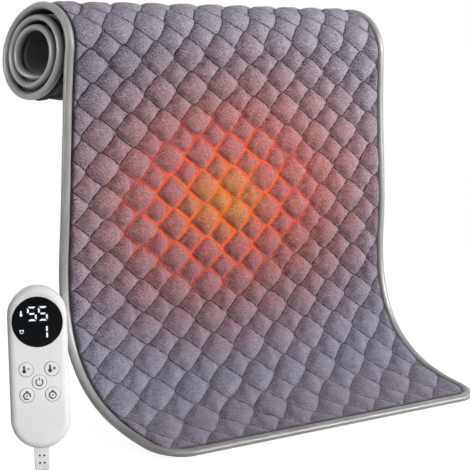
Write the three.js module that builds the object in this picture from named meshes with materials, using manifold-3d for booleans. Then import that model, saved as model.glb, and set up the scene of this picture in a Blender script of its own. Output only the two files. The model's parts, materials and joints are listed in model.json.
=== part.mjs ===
// Heating pad with one end rolled up, and its wired hand controller standing beside it.
// Millimetres, +Z up. X runs across the pad and Y points away from its quilted face.
// The origin is the centre of the roll's core, at the middle of the pad's width.
import * as THREE from "three";
import { mergeVertices } from "three/addons/utils/BufferGeometryUtils.js";
import Module from "manifold-3d";

// Clearances
const GAP = 0.3;
const MERGE_DISTANCE = 1e-4;

// Pad outline and edge binding
const PAD_WIDTH = 400;
const BINDING_WIDTH = 8.5;
const BINDING_THICKNESS = 5.2;
const BINDING_SIDES = 6;
const CORNER_RADIUS = 26;
const CORNER_STEPS = 6;

// Roll: a spiral that tightens toward the core. Its outer turns lie flatter behind and lean forward over the top.
const ROLL_OUTER_DEPTH = 47.4;
const ROLL_OUTER_HEIGHT = 43;
const ROLL_INNER_DEPTH = 20.2;
const ROLL_INNER_HEIGHT = 18.4;
const ROLL_FLATNESS = 7;
const ROLL_LEAN = 9.2;
const ROLL_SETTLING = 0.55;
const ROLL_TURNS = 2.85;
const ROLL_LIMIT_TURNS = 3;
const ROLL_TIGHTENING = 1.33;
const ROLL_SAMPLES = 570;

// Hanging sheet: down from the roll, then forward to the hem on the floor
const CORE_HEIGHT = 318;
const HEM_LIFT = 3.4;
const HEM_REACH = 167;
const HEM_SLOPE = 0.19;
const BELLY_DROP = 161;
const BELLY_SETBACK = 9.4;
const BELLY_SLOPE = 0.082;
const HANG_HANDLE = 50;
const ROLL_HANDLE = 25;
const SWEEP_HANDLE = 123;
const HEM_HANDLE = 67;

// The right edge hangs straighter than the left: how far back its two ends sit, and over what length
const ROLL_SKEW = 11;
const HEM_SKEW = 5;
const ROLL_SKEW_LENGTH = 170;
const HEM_SKEW_LENGTH = 110;

// The roll's forward lean fades toward the right end: by what share, and over what length below the roll
const LEAN_FADING = 0.75;
const LEAN_EASING = 25;

// Layers, as heights along the normal of the quilted face
const BACK_COVER_BOTTOM = -2.6;
const BACK_COVER_TOP = -1.5;
const CARRIER_BOTTOM = BACK_COVER_TOP + GAP;
const CARRIER_THICKNESS = 0.5;
const CARRIER_TOP = CARRIER_BOTTOM + CARRIER_THICKNESS;
const WIRE_RADIUS = 0.5;
const WIRE_HEIGHT = CARRIER_TOP + GAP + WIRE_RADIUS;
const COVER_BOTTOM = WIRE_HEIGHT + WIRE_RADIUS + GAP;
const COVER_ROLLED_TOP = 2.6;
const SEAM_TOP = 1.7;
const LARGE_TUFT_TOP = 5;
const SMALL_TUFT_TOP = 3.9;

// Quilting: a lattice of diamonds, large and small tufts in turn
const QUILT_PITCH_ACROSS = 36.6;
const QUILT_PITCH_ALONG = 30.6;
const QUILTED_TURNS = 1.06;
const PLAIN_STEP = 7;

// Heater inside the pad
const CARRIER_INSET = 8;
const WIRE_ROW_PITCH = 60;
const WIRE_EDGE = 24;
const WIRE_SIDES = 5;
const CUTOUT_SIZE = [14, 6];
const SENSOR_SIZE = [8, 4];
const CUTOUT_OFFSET = 60;
const SENSOR_OFFSET = 20;
const CUTOUT_ROW = 2;
const SENSOR_ROW = 4;

// Socket in the rolled end's hem
const SOCKET_WIDTH = 30;
const SOCKET_SETBACK = 0.7;
const SOCKET_SLOT = [20, 2.2, 3];

// Controller case
const CASE_WIDTH = 42;
const CASE_HEIGHT = 115.6;
const CASE_DEPTH = 19;
const CASE_ROUNDING = 4.8;
const CASE_WALL = 2;
const CASE_ARC_STEPS = 7;
const CASE_ROUNDING_STEPS = 3;

// Display window near the top of the case
const LENS_RADIUS = 17.7;
const LENS_THICKNESS = 1.9;
const LENS_DROP = 24.8;
const LENS_LEDGE = 2.2;
const LENS_RING_WALL = 1.6;
const LENS_RING_DEPTH = 1.7;
const MODULE_CLEARANCE = 1;
const ROUND_STEPS = 32;

// Buttons: a quincunx below the display
const BUTTON_RADIUS = 5.1;
const BUTTON_FLANGE = 0.9;
const BUTTON_FLANGE_THICKNESS = 1;
const BUTTON_PROUD = 0.35;
const BUTTON_TRAVEL = 0.6;
const BUTTON_EDGE = 0.4;
const BUTTON_STEM_RADIUS = 1.8;
const BUTTON_CENTRE_DROP = 67.4;
const BUTTON_SPACING_ACROSS = 9;
const BUTTON_SPACING_DOWN = 9.1;
const BUTTON_STEPS = 18;

// Circuit board and what it carries
const BOARD_THICKNESS = 1.6;
const BOARD_FRONT = 1;
const BOARD_INSET = 0.6;
const SWITCH_SIZE = 6;
const SWITCH_HEIGHT = 2.6;
const CHIP_SIZE = [7, 7, 1.2];
const CHIP_RISE = 24;
const RELAY_SIZE = [15, 10, 5.4];
const RELAY_DROP = 48;
const CAPACITOR_RADIUS = 2.5;
const CAPACITOR_LENGTH = 12;
const FUSE_RADIUS = 2.2;
const FUSE_LENGTH = 15;
const TUBE_PARTS_DROP = 72;
const TUBE_PARTS_SPACING = 7;
const TERMINAL_SIZE = [14, 8, 5];
const TERMINAL_CLEARANCE = 1.5;

// Case screws
const SCREW_DROP = 11.5;
const SCREW_RISE = 20;
const SCREW_SPACING = 13.2;
const SCREW_RADIUS = 1.2;
const SCREW_HEAD_RADIUS = 2.3;
const SCREW_HEAD_DEPTH = 1.8;
const SCREW_BITE = 3.6;
const POST_RADIUS = 3.1;
const SCREW_STEPS = 10;

// Strain relief below the case
const RELIEF_LENGTH = 15.8;
const RELIEF_WIDTH = 11.2;
const RELIEF_END_WIDTH = 10.6;
const RELIEF_THICKNESS = 7;
const RELIEF_FLANGE = 1.6;
const RELIEF_FLANGE_LENGTH = 2;
const RELIEF_DOT_RADIUS = 0.8;
const RELIEF_DOT_DEPTH = 2.2;
const RELIEF_DOT_SPACING = 3.2;
const RELIEF_DOT_DROPS = [5.7, 11];

// Where the controller stands: its foot on the floor, turned toward the viewer
const FOOT_X = -352.8;
const FOOT_Y = -212.6;
const STAND_YAW = THREE.MathUtils.degToRad(-37.4);
const STAND_LEAN = THREE.MathUtils.degToRad(-1.55);
const CORD_DROP = 24.5;

// Leads: two round cords side by side, each with a coil on the floor
const CORD_RADIUS = 2.2;
const CORD_SIDES = 8;
const COIL_PITCH = 4.9;
const COIL_LAYER = 4.9;
const COIL_INNER_RADIUS = 17.6;
const COIL_STEPS_PER_TURN = 24;
const COIL_SIDES = 6;
const CLIMB_TURNS = 0.5;
const SUPPLY_TURNS = 7.5;
const PAD_LEAD_TURNS = 3.5;
const TIE_THICKNESS = 1;
const TIE_WIDTH = 9;
const COIL_BASE = TIE_THICKNESS + GAP + CORD_RADIUS;

// A lead's way from the strain relief to its coil, on the right-hand side.
// x is to the right of the controller, y behind it and z above the floor.
const LEAD_POINTS = [
  [2.7, 0, CORD_DROP - GAP],
  [2.7, 0, 22],
  [2.7, 0, 19.8],
  [2.7, -1.3, 13.1],
  [2.7, -5.2, 7.5],
  [2.7, -10.9, 3.7],
  [2.7, -17.6, 2.4],
  [2.8, -24, 2.3],
  [3.3, -30, 2.3],
  [4.4, -36, 2.4],
  [5.8, -42, 2.6],
  [7.3, -48, 2.9],
  [8.4, -54, 3.2],
  [8.9, -60, 3.5],
  [9, -66, 3.5],
  [9, -70, 3.5],
];

// A lead's way from its coil to the piece on its end, from where the coil lets it go.
const TAIL_POINTS = [
  [0, 0, 8.4],
  [0, 4, 8.4],
  [0, 9, 8.2],
  [0, 14, 7.7],
  [0, 19, 7.2],
  [0, 24, 6.9],
  [0, 29, 6.9],
];

// Pieces on the leads' ends
const PLUG_WIDTH = 35;
const PLUG_WAIST = 26;
const PLUG_THICKNESS = 13.7;
const PLUG_LENGTH = 24;
const PLUG_ROUNDING = 2;
const PLUG_BOOT_LENGTH = 16;
const PLUG_BOOT_RADIUS = 4.4;
const PIN_RADIUS = 2;
const PIN_LENGTH = 19;
const PIN_SPACING = 18.6;
const PIN_SOCKET_DEPTH = 4;
const CONNECTOR_SIZE = [24, 22];
const CONNECTOR_NOSE = [18.6, 9, 4];

const COLOURS = {
  plush: 0x8d8993,
  cloth: 0x4a4645,
  binding: 0xa8a6a3,
  felt: 0xcfc9bd,
  wire: 0xb0432a,
  white: 0xf1f1ef,
  relief: 0xe4e4e2,
  black: 0x0b0b0d,
  dark: 0x26272a,
  board: 0x1f5a3a,
  steel: 0xb9bcc0,
  grey: 0x8b8d90,
  cord: 0xe9e9e7,
};

const wasm = await Module();
wasm.setup();

const heatingPad = new THREE.Group();

// Common helpers

function finish(colour, roughness, metalness = 0) {
  return new THREE.MeshStandardMaterial({ color: colour, roughness, metalness });
}

function addPiece(parent, name, geometry, material) {
  const mesh = new THREE.Mesh(geometry, material);
  mesh.name = name;
  parent.add(mesh);
  return mesh;
}

function solid(geometry) {
  const bare = new THREE.BufferGeometry();
  bare.setAttribute("position", geometry.getAttribute("position"));
  bare.setIndex(geometry.index);
  const merged = mergeVertices(bare, MERGE_DISTANCE);
  const corners = merged.index.array;
  const kept = [];
  for (let i = 0; i < corners.length; i += 3) {
    const [a, b, c] = corners.slice(i, i + 3);
    if (a !== b && b !== c && c !== a) kept.push(a, b, c);
  }
  return new wasm.Manifold(new wasm.Mesh({
    numProp: 3,
    vertProperties: new Float32Array(merged.getAttribute("position").array),
    triVerts: new Uint32Array(kept),
  }));
}

function geometryOf(body) {
  const mesh = body.getMesh();
  const geometry = new THREE.BufferGeometry();
  geometry.setAttribute("position", new THREE.BufferAttribute(mesh.vertProperties, mesh.numProp));
  geometry.setIndex(new THREE.BufferAttribute(mesh.triVerts, 1));
  geometry.computeVertexNormals();
  return geometry;
}

function meshGeometry(points, triangles) {
  const geometry = new THREE.BufferGeometry().setFromPoints(points);
  geometry.setIndex(triangles);
  geometry.computeVertexNormals();
  return geometry;
}

function box(width, height, depth, x = 0, y = 0, z = 0) {
  return new THREE.BoxGeometry(width, height, depth).translate(x, y, z);
}

// A round bar along Z from one height to another.
function bar(radius, from, to, x = 0, y = 0, steps = ROUND_STEPS) {
  const geometry = new THREE.CylinderGeometry(radius, radius, to - from, steps);
  return geometry.rotateX(Math.PI / 2).translate(x, y, (from + to) / 2);
}

// Pad: the profile that every layer follows, from the front hem to the rolled end

class RollSpiral extends THREE.Curve {
  getPoint(t, target = new THREE.Vector2()) {
    const turn = t * ROLL_TURNS;
    const angle = 2 * Math.PI * turn;
    const looseness = (1 - turn / ROLL_LIMIT_TURNS) ** ROLL_TIGHTENING;
    const depth = THREE.MathUtils.lerp(ROLL_INNER_DEPTH, ROLL_OUTER_DEPTH, looseness);
    const height = THREE.MathUtils.lerp(ROLL_INNER_HEIGHT, ROLL_OUTER_HEIGHT, looseness);
    const settling = Math.exp(-ROLL_SETTLING * turn);
    const flatness = ROLL_FLATNESS * settling * (1 - Math.cos(angle)) / 2;
    const lean = ROLL_LEAN * settling * Math.sin(angle);
    return target.set(-depth * Math.cos(angle) - flatness - lean, height * Math.sin(angle));
  }
}

function padProfile() {
  const spiral = new RollSpiral();
  spiral.arcLengthDivisions = ROLL_SAMPLES;
  const rollStart = spiral.getPoint(0);
  const rollTangent = spiral.getPoint(1 / ROLL_SAMPLES).sub(rollStart).normalize();
  const belly = new THREE.Vector2(BELLY_SETBACK - ROLL_OUTER_DEPTH, -BELLY_DROP);
  const bellyTangent = new THREE.Vector2(-BELLY_SLOPE, 1).normalize();
  const hem = new THREE.Vector2(-HEM_REACH, HEM_LIFT - CORE_HEIGHT);
  const hemTangent = new THREE.Vector2(1, HEM_SLOPE).normalize();
  const path = new THREE.CurvePath();
  path.add(new THREE.CubicBezierCurve(
    hem,
    hem.clone().addScaledVector(hemTangent, HEM_HANDLE),
    belly.clone().addScaledVector(bellyTangent, -SWEEP_HANDLE),
    belly,
  ));
  path.add(new THREE.CubicBezierCurve(
    belly,
    belly.clone().addScaledVector(bellyTangent, HANG_HANDLE),
    rollStart.clone().addScaledVector(rollTangent, -ROLL_HANDLE),
    rollStart,
  ));
  path.add(spiral);
  const hung = path.getCurveLengths()[1];
  const quiltedRoll = spiral.getLengths()[Math.round(ROLL_SAMPLES * QUILTED_TURNS / ROLL_TURNS)];
  const drawn = path.getLength();
  return { path, spiral, drawn, hung, length: drawn - BINDING_WIDTH, quilted: hung + quiltedRoll };
}

const profile = padProfile();
const edgeX = (PAD_WIDTH - BINDING_WIDTH) / 2;
const coverInset = BINDING_WIDTH / 2 + GAP;
const quiltRows = 2 * Math.round((profile.quilted - coverInset) / QUILT_PITCH_ALONG);
const plainRows = Math.ceil((profile.length - coverInset - profile.quilted) / PLAIN_STEP);

// The stations are the fold lines of the faceted sheet that all layers share.
function sheetStations() {
  const places = [];
  for (let row = 0; row <= quiltRows; row += 1) {
    places.push(THREE.MathUtils.lerp(coverInset, profile.quilted, row / quiltRows));
  }
  for (let row = 1; row <= plainRows; row += 1) {
    places.push(THREE.MathUtils.lerp(profile.quilted, profile.length - coverInset, row / plainRows));
  }
  places.push(profile.length, profile.length + BINDING_WIDTH / 2);
  return places.map((along) => {
    const point = profile.path.getPoint(along / profile.drawn);
    const tangent = profile.path.getTangent(along / profile.drawn);
    return { along, point, normal: new THREE.Vector2(-tangent.y, tangent.x) };
  });
}

const stations = sheetStations();
const lastStation = stations.length - 1;

// How far forward the roll leans at a place along the sheet, eased in below the roll.
function leanAt(along) {
  const past = along - profile.hung;
  if (past < 0) {
    return ROLL_LEAN / Math.hypot(ROLL_LEAN, ROLL_OUTER_HEIGHT) * past * Math.exp(past / LEAN_EASING);
  }
  const turn = ROLL_TURNS * profile.spiral.getUtoTmapping(past / (profile.drawn - profile.hung));
  return ROLL_LEAN * Math.exp(-ROLL_SETTLING * turn) * Math.sin(2 * Math.PI * turn);
}

// How far back a point of the sheet sits because of the straighter right edge, about the roll's middle.
function skewAt(x, along) {
  const { smoothstep } = THREE.MathUtils;
  const atHem = 1 - smoothstep(along, 0, HEM_SKEW_LENGTH);
  const atRoll = smoothstep(along, profile.hung - ROLL_SKEW_LENGTH, profile.hung);
  const share = (x + edgeX) / (2 * edgeX);
  return share * (HEM_SKEW * atHem + ROLL_SKEW * atRoll + LEAN_FADING * leanAt(along)) - ROLL_SKEW / 2;
}

// A point of the sheet: x across, the distance along from the hem, and the height over it.
function onSheet(x, along, height) {
  let first = 0;
  while (first < lastStation - 1 && stations[first + 1].along < along) first += 1;
  const [near, far] = [stations[first], stations[first + 1]];
  const share = (along - near.along) / (far.along - near.along);
  const low = near.point.clone().addScaledVector(near.normal, height);
  const high = far.point.clone().addScaledVector(far.normal, height);
  low.lerp(high, share);
  const skew = THREE.MathUtils.lerp(skewAt(x, near.along), skewAt(x, far.along), share);
  return new THREE.Vector3(x, low.x + skew, low.y);
}

// Pulls a point of a layer in to the layer's rounded corner: rows of the sheet keep their place along it,
// points of an end row keep theirs across, and the corner point itself goes to the middle of the arc.
function roundCorner(x, along, layer) {
  const { half, corner } = layer;
  const end = along < profile.length / 2 ? layer.start : layer.end;
  const inward = Math.sign(profile.length / 2 - end);
  const across = Math.max(Math.abs(x) - half + corner, 0);
  const up = Math.max(corner - inward * (along - end), 0);
  if (Math.hypot(across, up) <= corner) return [x, along];
  const place = (far, near) => [Math.sign(x) * (half - corner + far), end + inward * (corner - near)];
  if (along !== end) return place(Math.sqrt(corner ** 2 - up ** 2), up);
  if (across < corner) return place(across, Math.sqrt(corner ** 2 - across ** 2));
  return place(corner * Math.SQRT1_2, corner * Math.SQRT1_2);
}

function layerOutline(inset) {
  return {
    half: edgeX - inset,
    start: inset,
    end: profile.length - inset,
    corner: Math.max(CORNER_RADIUS - inset, 1),
  };
}

function evenColumns(half, count) {
  return Array.from({ length: count + 1 }, (_, i) => half * (2 * i / count - 1));
}

function cornerColumns(layer) {
  const { half, corner } = layer;
  return [-half, corner / 3 - half, corner - half, half - corner, half - corner / 3, half];
}

// Joins two rows of corners, each given from left to right, with a band of triangles.
function joinRows(triangles, near, far) {
  let i = 0;
  let k = 0;
  while (i < near.length - 1 || k < far.length - 1) {
    const nearNext = (i + 1) / (near.length - 1);
    const farNext = (k + 1) / (far.length - 1);
    if (k === far.length - 1 || (i < near.length - 1 && nearNext <= farNext)) {
      triangles.push(near[i], near[i + 1], far[k]);
      i += 1;
    } else {
      triangles.push(near[i], far[k + 1], far[k]);
      k += 1;
    }
  }
}

// Joins two rows of the quilt so that the shared edges run along its seams.
function joinQuiltRows(triangles, near, far, row) {
  for (let i = 0; i < near.length - 1; i += 1) {
    if ((i + row) % 2 === 0) {
      triangles.push(near[i], near[i + 1], far[i + 1], near[i], far[i + 1], far[i]);
    } else {
      triangles.push(near[i], near[i + 1], far[i], near[i + 1], far[i + 1], far[i]);
    }
  }
}

// Closes a layer between its top and bottom rows.
function closeLayer(points, triangles, top, bottom) {
  const under = [];
  for (let row = 0; row < bottom.length - 1; row += 1) joinRows(under, bottom[row], bottom[row + 1]);
  for (let i = 0; i < under.length; i += 3) triangles.push(under[i], under[i + 2], under[i + 1]);
  const rim = (rows) => {
    const middle = rows.slice(1, -1);
    const right = middle.map((row) => row.at(-1));
    const left = middle.map((row) => row[0]).reverse();
    return [...rows[0], ...right, ...rows.at(-1).toReversed(), ...left];
  };
  const upper = rim(top);
  const lower = rim(bottom);
  upper.forEach((corner, i) => {
    const next = (i + 1) % upper.length;
    triangles.push(lower[i], lower[next], upper[next], lower[i], upper[next], corner);
  });
  return meshGeometry(points, triangles);
}

function layerRow(points, layer, columns, along, heightAt) {
  return columns.map((x, i) => {
    const [roundX, roundAlong] = roundCorner(x, along, layer);
    points.push(onSheet(roundX, roundAlong, heightAt(i)));
    return points.length - 1;
  });
}

function layerPlaces(layer) {
  const inner = stations.filter(({ along }) => along > layer.start + GAP && along < layer.end - GAP);
  return [layer.start, ...inner.map(({ along }) => along), layer.end];
}

function plainLayer(inset, low, high) {
  const layer = layerOutline(inset);
  const places = layerPlaces(layer);
  const points = [];
  const triangles = [];
  const rowsAt = (height) => places.map((along, row) => {
    const atEnd = row === 0 || row === places.length - 1;
    const columns = atEnd ? cornerColumns(layer) : [-layer.half, 0, layer.half];
    return layerRow(points, layer, columns, along, () => height);
  });
  const top = rowsAt(high);
  const bottom = rowsAt(low);
  for (let row = 0; row < top.length - 1; row += 1) joinRows(triangles, top[row], top[row + 1]);
  return closeLayer(points, triangles, top, bottom);
}

// Quilted cover: tufts stand between the seams as far as the first turn of the roll.
function quiltedLayer() {
  const layer = layerOutline(coverInset);
  const places = layerPlaces(layer);
  const columnCount = 2 * Math.round(2 * layer.half / QUILT_PITCH_ACROSS);
  const quiltColumns = evenColumns(layer.half, columnCount);
  const points = [];
  const triangles = [];
  const tuftHeight = (row, i) => {
    if (row === quiltRows) return COVER_ROLLED_TOP;
    if (row === 0 || i === 0 || i === columnCount || (i + row) % 2 === 0) return SEAM_TOP;
    return row % 2 === 1 ? LARGE_TUFT_TOP : SMALL_TUFT_TOP;
  };
  const columnsAt = (row, quilted) => {
    if (row === places.length - 1) return cornerColumns(layer);
    return quilted ? quiltColumns : [-layer.half, 0, layer.half];
  };
  const top = places.map((along, row) => {
    const quilted = row <= quiltRows;
    const heightAt = (i) => (quilted ? tuftHeight(row, i) : COVER_ROLLED_TOP);
    return layerRow(points, layer, columnsAt(row, quilted), along, heightAt);
  });
  const bottom = places.map((along, row) => {
    return layerRow(points, layer, columnsAt(row, row === 0), along, () => COVER_BOTTOM);
  });
  for (let row = 0; row < top.length - 1; row += 1) {
    if (row < quiltRows) joinQuiltRows(triangles, top[row], top[row + 1], row);
    else joinRows(triangles, top[row], top[row + 1]);
  }
  return closeLayer(points, triangles, top, bottom);
}

// A tube whose rings are given as lists of corners, closed at both ends.
function ringTube(rings) {
  const sides = rings[0].length;
  const points = rings.flat();
  const triangles = [];
  for (let ring = 0; ring < rings.length - 1; ring += 1) {
    for (let i = 0; i < sides; i += 1) {
      const next = (i + 1) % sides;
      const [a, b] = [ring * sides + i, ring * sides + next];
      triangles.push(a, b, b + sides, a, b + sides, a + sides);
    }
  }
  const last = points.length - sides;
  for (let i = 1; i < sides - 1; i += 1) {
    triangles.push(0, i + 1, i, last, last + i, last + i + 1);
  }
  return meshGeometry(points, triangles);
}

// The binding's way round the pad, from one side of the socket to the other.
function bindingPath() {
  const { length } = profile;
  const corner = (x, along, from) => Array.from({ length: CORNER_STEPS + 1 }, (_, i) => {
    const angle = from - (Math.PI / 2) * (i / CORNER_STEPS);
    const out = [Math.cos(angle), Math.sin(angle)];
    return { x: x + CORNER_RADIUS * out[0], along: along + CORNER_RADIUS * out[1], out };
  });
  const straight = stations.filter(({ along }) => {
    return along > CORNER_RADIUS + GAP && along < length - CORNER_RADIUS - GAP;
  });
  const rightSide = straight.map(({ along }) => ({ x: edgeX, along, out: [1, 0] })).reverse();
  const leftSide = straight.map(({ along }) => ({ x: -edgeX, along, out: [-1, 0] }));
  const end = SOCKET_WIDTH / 2 + GAP;
  const centre = edgeX - CORNER_RADIUS;
  return [
    { x: end, along: length, out: [0, 1] },
    ...corner(centre, length - CORNER_RADIUS, Math.PI / 2),
    ...rightSide,
    ...corner(centre, CORNER_RADIUS, 0),
    ...corner(-centre, CORNER_RADIUS, -Math.PI / 2),
    ...leftSide,
    ...corner(-centre, length - CORNER_RADIUS, Math.PI),
    { x: -end, along: length, out: [0, 1] },
  ];
}

function edgeBinding() {
  const reach = BINDING_WIDTH / 2;
  const rise = BINDING_THICKNESS / 2 / Math.sin(Math.PI / 3);
  const rings = bindingPath().map(({ x, along, out }) => {
    return Array.from({ length: BINDING_SIDES }, (_, i) => {
      const angle = 2 * Math.PI * i / BINDING_SIDES;
      const push = reach * Math.cos(angle);
      return onSheet(x + push * out[0], along + push * out[1], rise * Math.sin(angle));
    });
  });
  return ringTube(rings);
}

// Heating wire: rows across the pad joined by half circles that cross the fold lines.
const wireStart = coverInset + WIRE_EDGE;
const wireRows = Math.floor((profile.length - 2 * wireStart) / WIRE_ROW_PITCH);

function wireRowPlace(row) {
  return wireStart + row * WIRE_ROW_PITCH;
}

function wirePath() {
  const bend = WIRE_ROW_PITCH / 2;
  const reach = edgeX - WIRE_EDGE - bend;
  const path = [];
  for (let row = 0; row <= wireRows; row += 1) {
    const side = row % 2 === 0 ? 1 : -1;
    const along = wireRowPlace(row);
    path.push([-side * reach, along], [side * reach, along]);
    if (row === wireRows) break;
    const crossed = stations.filter((station) => {
      return station.along > along + GAP && station.along < along + WIRE_ROW_PITCH - GAP;
    });
    crossed.forEach((station) => {
      const out = Math.sqrt(bend ** 2 - (station.along - along - bend) ** 2);
      path.push([side * (reach + out), station.along]);
    });
  }
  return path;
}

function heatingWire() {
  const path = wirePath();
  const rings = path.map(([x, along], i) => {
    const [beforeX, before] = path[Math.max(i - 1, 0)];
    const [afterX, after] = path[Math.min(i + 1, path.length - 1)];
    const heading = new THREE.Vector2(afterX - beforeX, after - before).normalize();
    return Array.from({ length: WIRE_SIDES }, (_, side) => {
      const angle = 2 * Math.PI * side / WIRE_SIDES;
      const push = WIRE_RADIUS * Math.cos(angle);
      const lift = WIRE_HEIGHT + WIRE_RADIUS * Math.sin(angle);
      return onSheet(x - push * heading.y, along + push * heading.x, lift);
    });
  });
  return ringTube(rings);
}

// Stands a piece on the sheet, its own X across, Y along and Z out of the quilted face.
function placeOnSheet(mesh, x, along, height) {
  const step = 1;
  const across = onSheet(x + step, along, height).sub(onSheet(x - step, along, height)).normalize();
  const up = onSheet(x, along + step, height).sub(onSheet(x, along - step, height));
  const out = across.clone().cross(up).normalize();
  const forward = out.clone().cross(across);
  mesh.setRotationFromMatrix(new THREE.Matrix4().makeBasis(across, forward, out));
  mesh.position.copy(onSheet(x, along, height));
}

// The middle of the flat strip nearest to a place between two rows of wire.
function stripAfterRow(row) {
  const wanted = wireRowPlace(row) + WIRE_ROW_PITCH / 2;
  const index = stations.findIndex(({ along }) => along > wanted);
  return (stations[index - 1].along + stations[index].along) / 2;
}

function socketBody() {
  const depth = BINDING_WIDTH - SOCKET_SETBACK;
  const body = solid(box(SOCKET_WIDTH, depth, BINDING_THICKNESS, 0, SOCKET_SETBACK / 2, 0));
  const [slotWidth, slotHeight, slotDepth] = SOCKET_SLOT;
  const slot = solid(box(slotWidth, 2 * slotDepth, slotHeight, 0, BINDING_WIDTH / 2, 0));
  return geometryOf(body.subtract(slot));
}

function buildPad() {
  const cloth = finish(COLOURS.cloth, 0.95);
  addPiece(heatingPad, "quilted_cover", quiltedLayer(), finish(COLOURS.plush, 0.95));
  addPiece(heatingPad, "back_cover", plainLayer(coverInset, BACK_COVER_BOTTOM, BACK_COVER_TOP), cloth);
  addPiece(heatingPad, "edge_binding", edgeBinding(), finish(COLOURS.binding, 0.7));
  const felt = plainLayer(coverInset + CARRIER_INSET, CARRIER_BOTTOM, CARRIER_TOP);
  addPiece(heatingPad, "wire_carrier", felt, finish(COLOURS.felt, 1));
  addPiece(heatingPad, "heating_wire", heatingWire(), finish(COLOURS.wire, 0.6));
  const dark = finish(COLOURS.dark, 0.5);
  const guards = [
    ["thermal_cutout_left", -CUTOUT_OFFSET, CUTOUT_ROW, CUTOUT_SIZE],
    ["thermal_cutout_right", CUTOUT_OFFSET, CUTOUT_ROW, CUTOUT_SIZE],
    ["temperature_sensor", SENSOR_OFFSET, SENSOR_ROW, SENSOR_SIZE],
  ];
  for (const [name, x, row, [width, depth]] of guards) {
    const guard = addPiece(heatingPad, name, box(width, depth, 2 * WIRE_RADIUS), dark);
    placeOnSheet(guard, x, stripAfterRow(row), WIRE_HEIGHT);
  }
  const socket = addPiece(heatingPad, "pad_socket", socketBody(), dark);
  placeOnSheet(socket, 0, profile.length, 0);
}

// Controller, in its own frame: x to the right, y up and z out of its face.
// Its origin is the middle of the case, on the parting plane of the two shells.

const faceZ = CASE_DEPTH / 2;
const innerFaceZ = faceZ - CASE_WALL;
const boardBackZ = BOARD_FRONT - BOARD_THICKNESS;
const lensY = CASE_HEIGHT / 2 - LENS_DROP;
const lensSeatZ = faceZ - LENS_THICKNESS - GAP;
const windowRadius = LENS_RADIUS - LENS_LEDGE;
const lensRingZ = lensSeatZ - LENS_RING_DEPTH;
const switchTopZ = BOARD_FRONT + GAP + SWITCH_HEIGHT;

function dropToY(drop) {
  return CASE_HEIGHT / 2 - drop;
}

function riseToY(rise) {
  return rise - CASE_HEIGHT / 2;
}

function capsuleShape(width, height) {
  const radius = width / 2;
  const centre = (height - width) / 2;
  const shape = new THREE.Shape();
  shape.absarc(0, centre, radius, 0, Math.PI);
  shape.absarc(0, -centre, radius, Math.PI, 2 * Math.PI);
  return shape;
}

// The case as one rounded capsule, shrunk by a wall for its hollow.
function caseBody(shrink) {
  const rounding = Math.max(CASE_ROUNDING - shrink, GAP);
  const inset = 2 * (shrink + rounding);
  const depth = CASE_DEPTH - 2 * shrink - 2 * rounding;
  const geometry = new THREE.ExtrudeGeometry(capsuleShape(CASE_WIDTH - inset, CASE_HEIGHT - inset), {
    depth,
    bevelSize: rounding,
    bevelThickness: rounding,
    bevelSegments: CASE_ROUNDING_STEPS,
    curveSegments: CASE_ARC_STEPS,
  });
  return solid(geometry.translate(0, 0, -depth / 2));
}

function halfSpace(side) {
  const depth = CASE_DEPTH;
  return solid(box(2 * CASE_WIDTH, 2 * CASE_HEIGHT, depth, 0, 0, side * (depth / 2 + GAP / 2)));
}

const screwPlaces = [dropToY(SCREW_DROP), riseToY(SCREW_RISE)].flatMap((y) => {
  return [-SCREW_SPACING, SCREW_SPACING].map((x) => [x, y]);
});

const buttonPlaces = [
  ["heat_down", -1, 1],
  ["heat_up", 1, 1],
  ["power", 0, 0],
  ["timer_down", -1, -1],
  ["timer_up", 1, -1],
].map(([name, across, up]) => {
  const y = dropToY(BUTTON_CENTRE_DROP) + up * BUTTON_SPACING_DOWN;
  return [name, across * BUTTON_SPACING_ACROSS, y];
});

// The slot in the bottom wall that the strain relief passes through.
function reliefSlot() {
  const width = RELIEF_WIDTH + 2 * GAP;
  const thickness = RELIEF_THICKNESS + 2 * GAP;
  return solid(box(width, 2 * CASE_ROUNDING + 2 * CASE_WALL, thickness, 0, -CASE_HEIGHT / 2, 0));
}

function frontShell() {
  const post = ([x, y]) => solid(bar(POST_RADIUS, BOARD_FRONT + GAP, innerFaceZ, x, y, SCREW_STEPS));
  const pilot = ([x, y]) => {
    const end = BOARD_FRONT + SCREW_BITE + 2 * GAP;
    return solid(bar(SCREW_RADIUS + GAP, 0, end, x, y, SCREW_STEPS));
  };
  const hollow = caseBody(CASE_WALL);
  let inside = solid(bar(LENS_RADIUS + LENS_RING_WALL, lensRingZ, faceZ - CASE_WALL / 2, 0, lensY));
  for (const place of screwPlaces) inside = inside.add(post(place));
  inside = inside.intersect(caseBody(CASE_WALL / 2));
  let shell = caseBody(0).subtract(hollow).add(inside).intersect(halfSpace(1));
  shell = shell.subtract(solid(bar(LENS_RADIUS + GAP, lensSeatZ, CASE_DEPTH, 0, lensY)));
  shell = shell.subtract(solid(bar(windowRadius, 0, CASE_DEPTH, 0, lensY)));
  for (const [, x, y] of buttonPlaces) {
    shell = shell.subtract(solid(bar(BUTTON_RADIUS + GAP, 0, CASE_DEPTH, x, y, BUTTON_STEPS)));
  }
  for (const place of screwPlaces) shell = shell.subtract(pilot(place));
  return geometryOf(shell.subtract(reliefSlot()));
}

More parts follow.
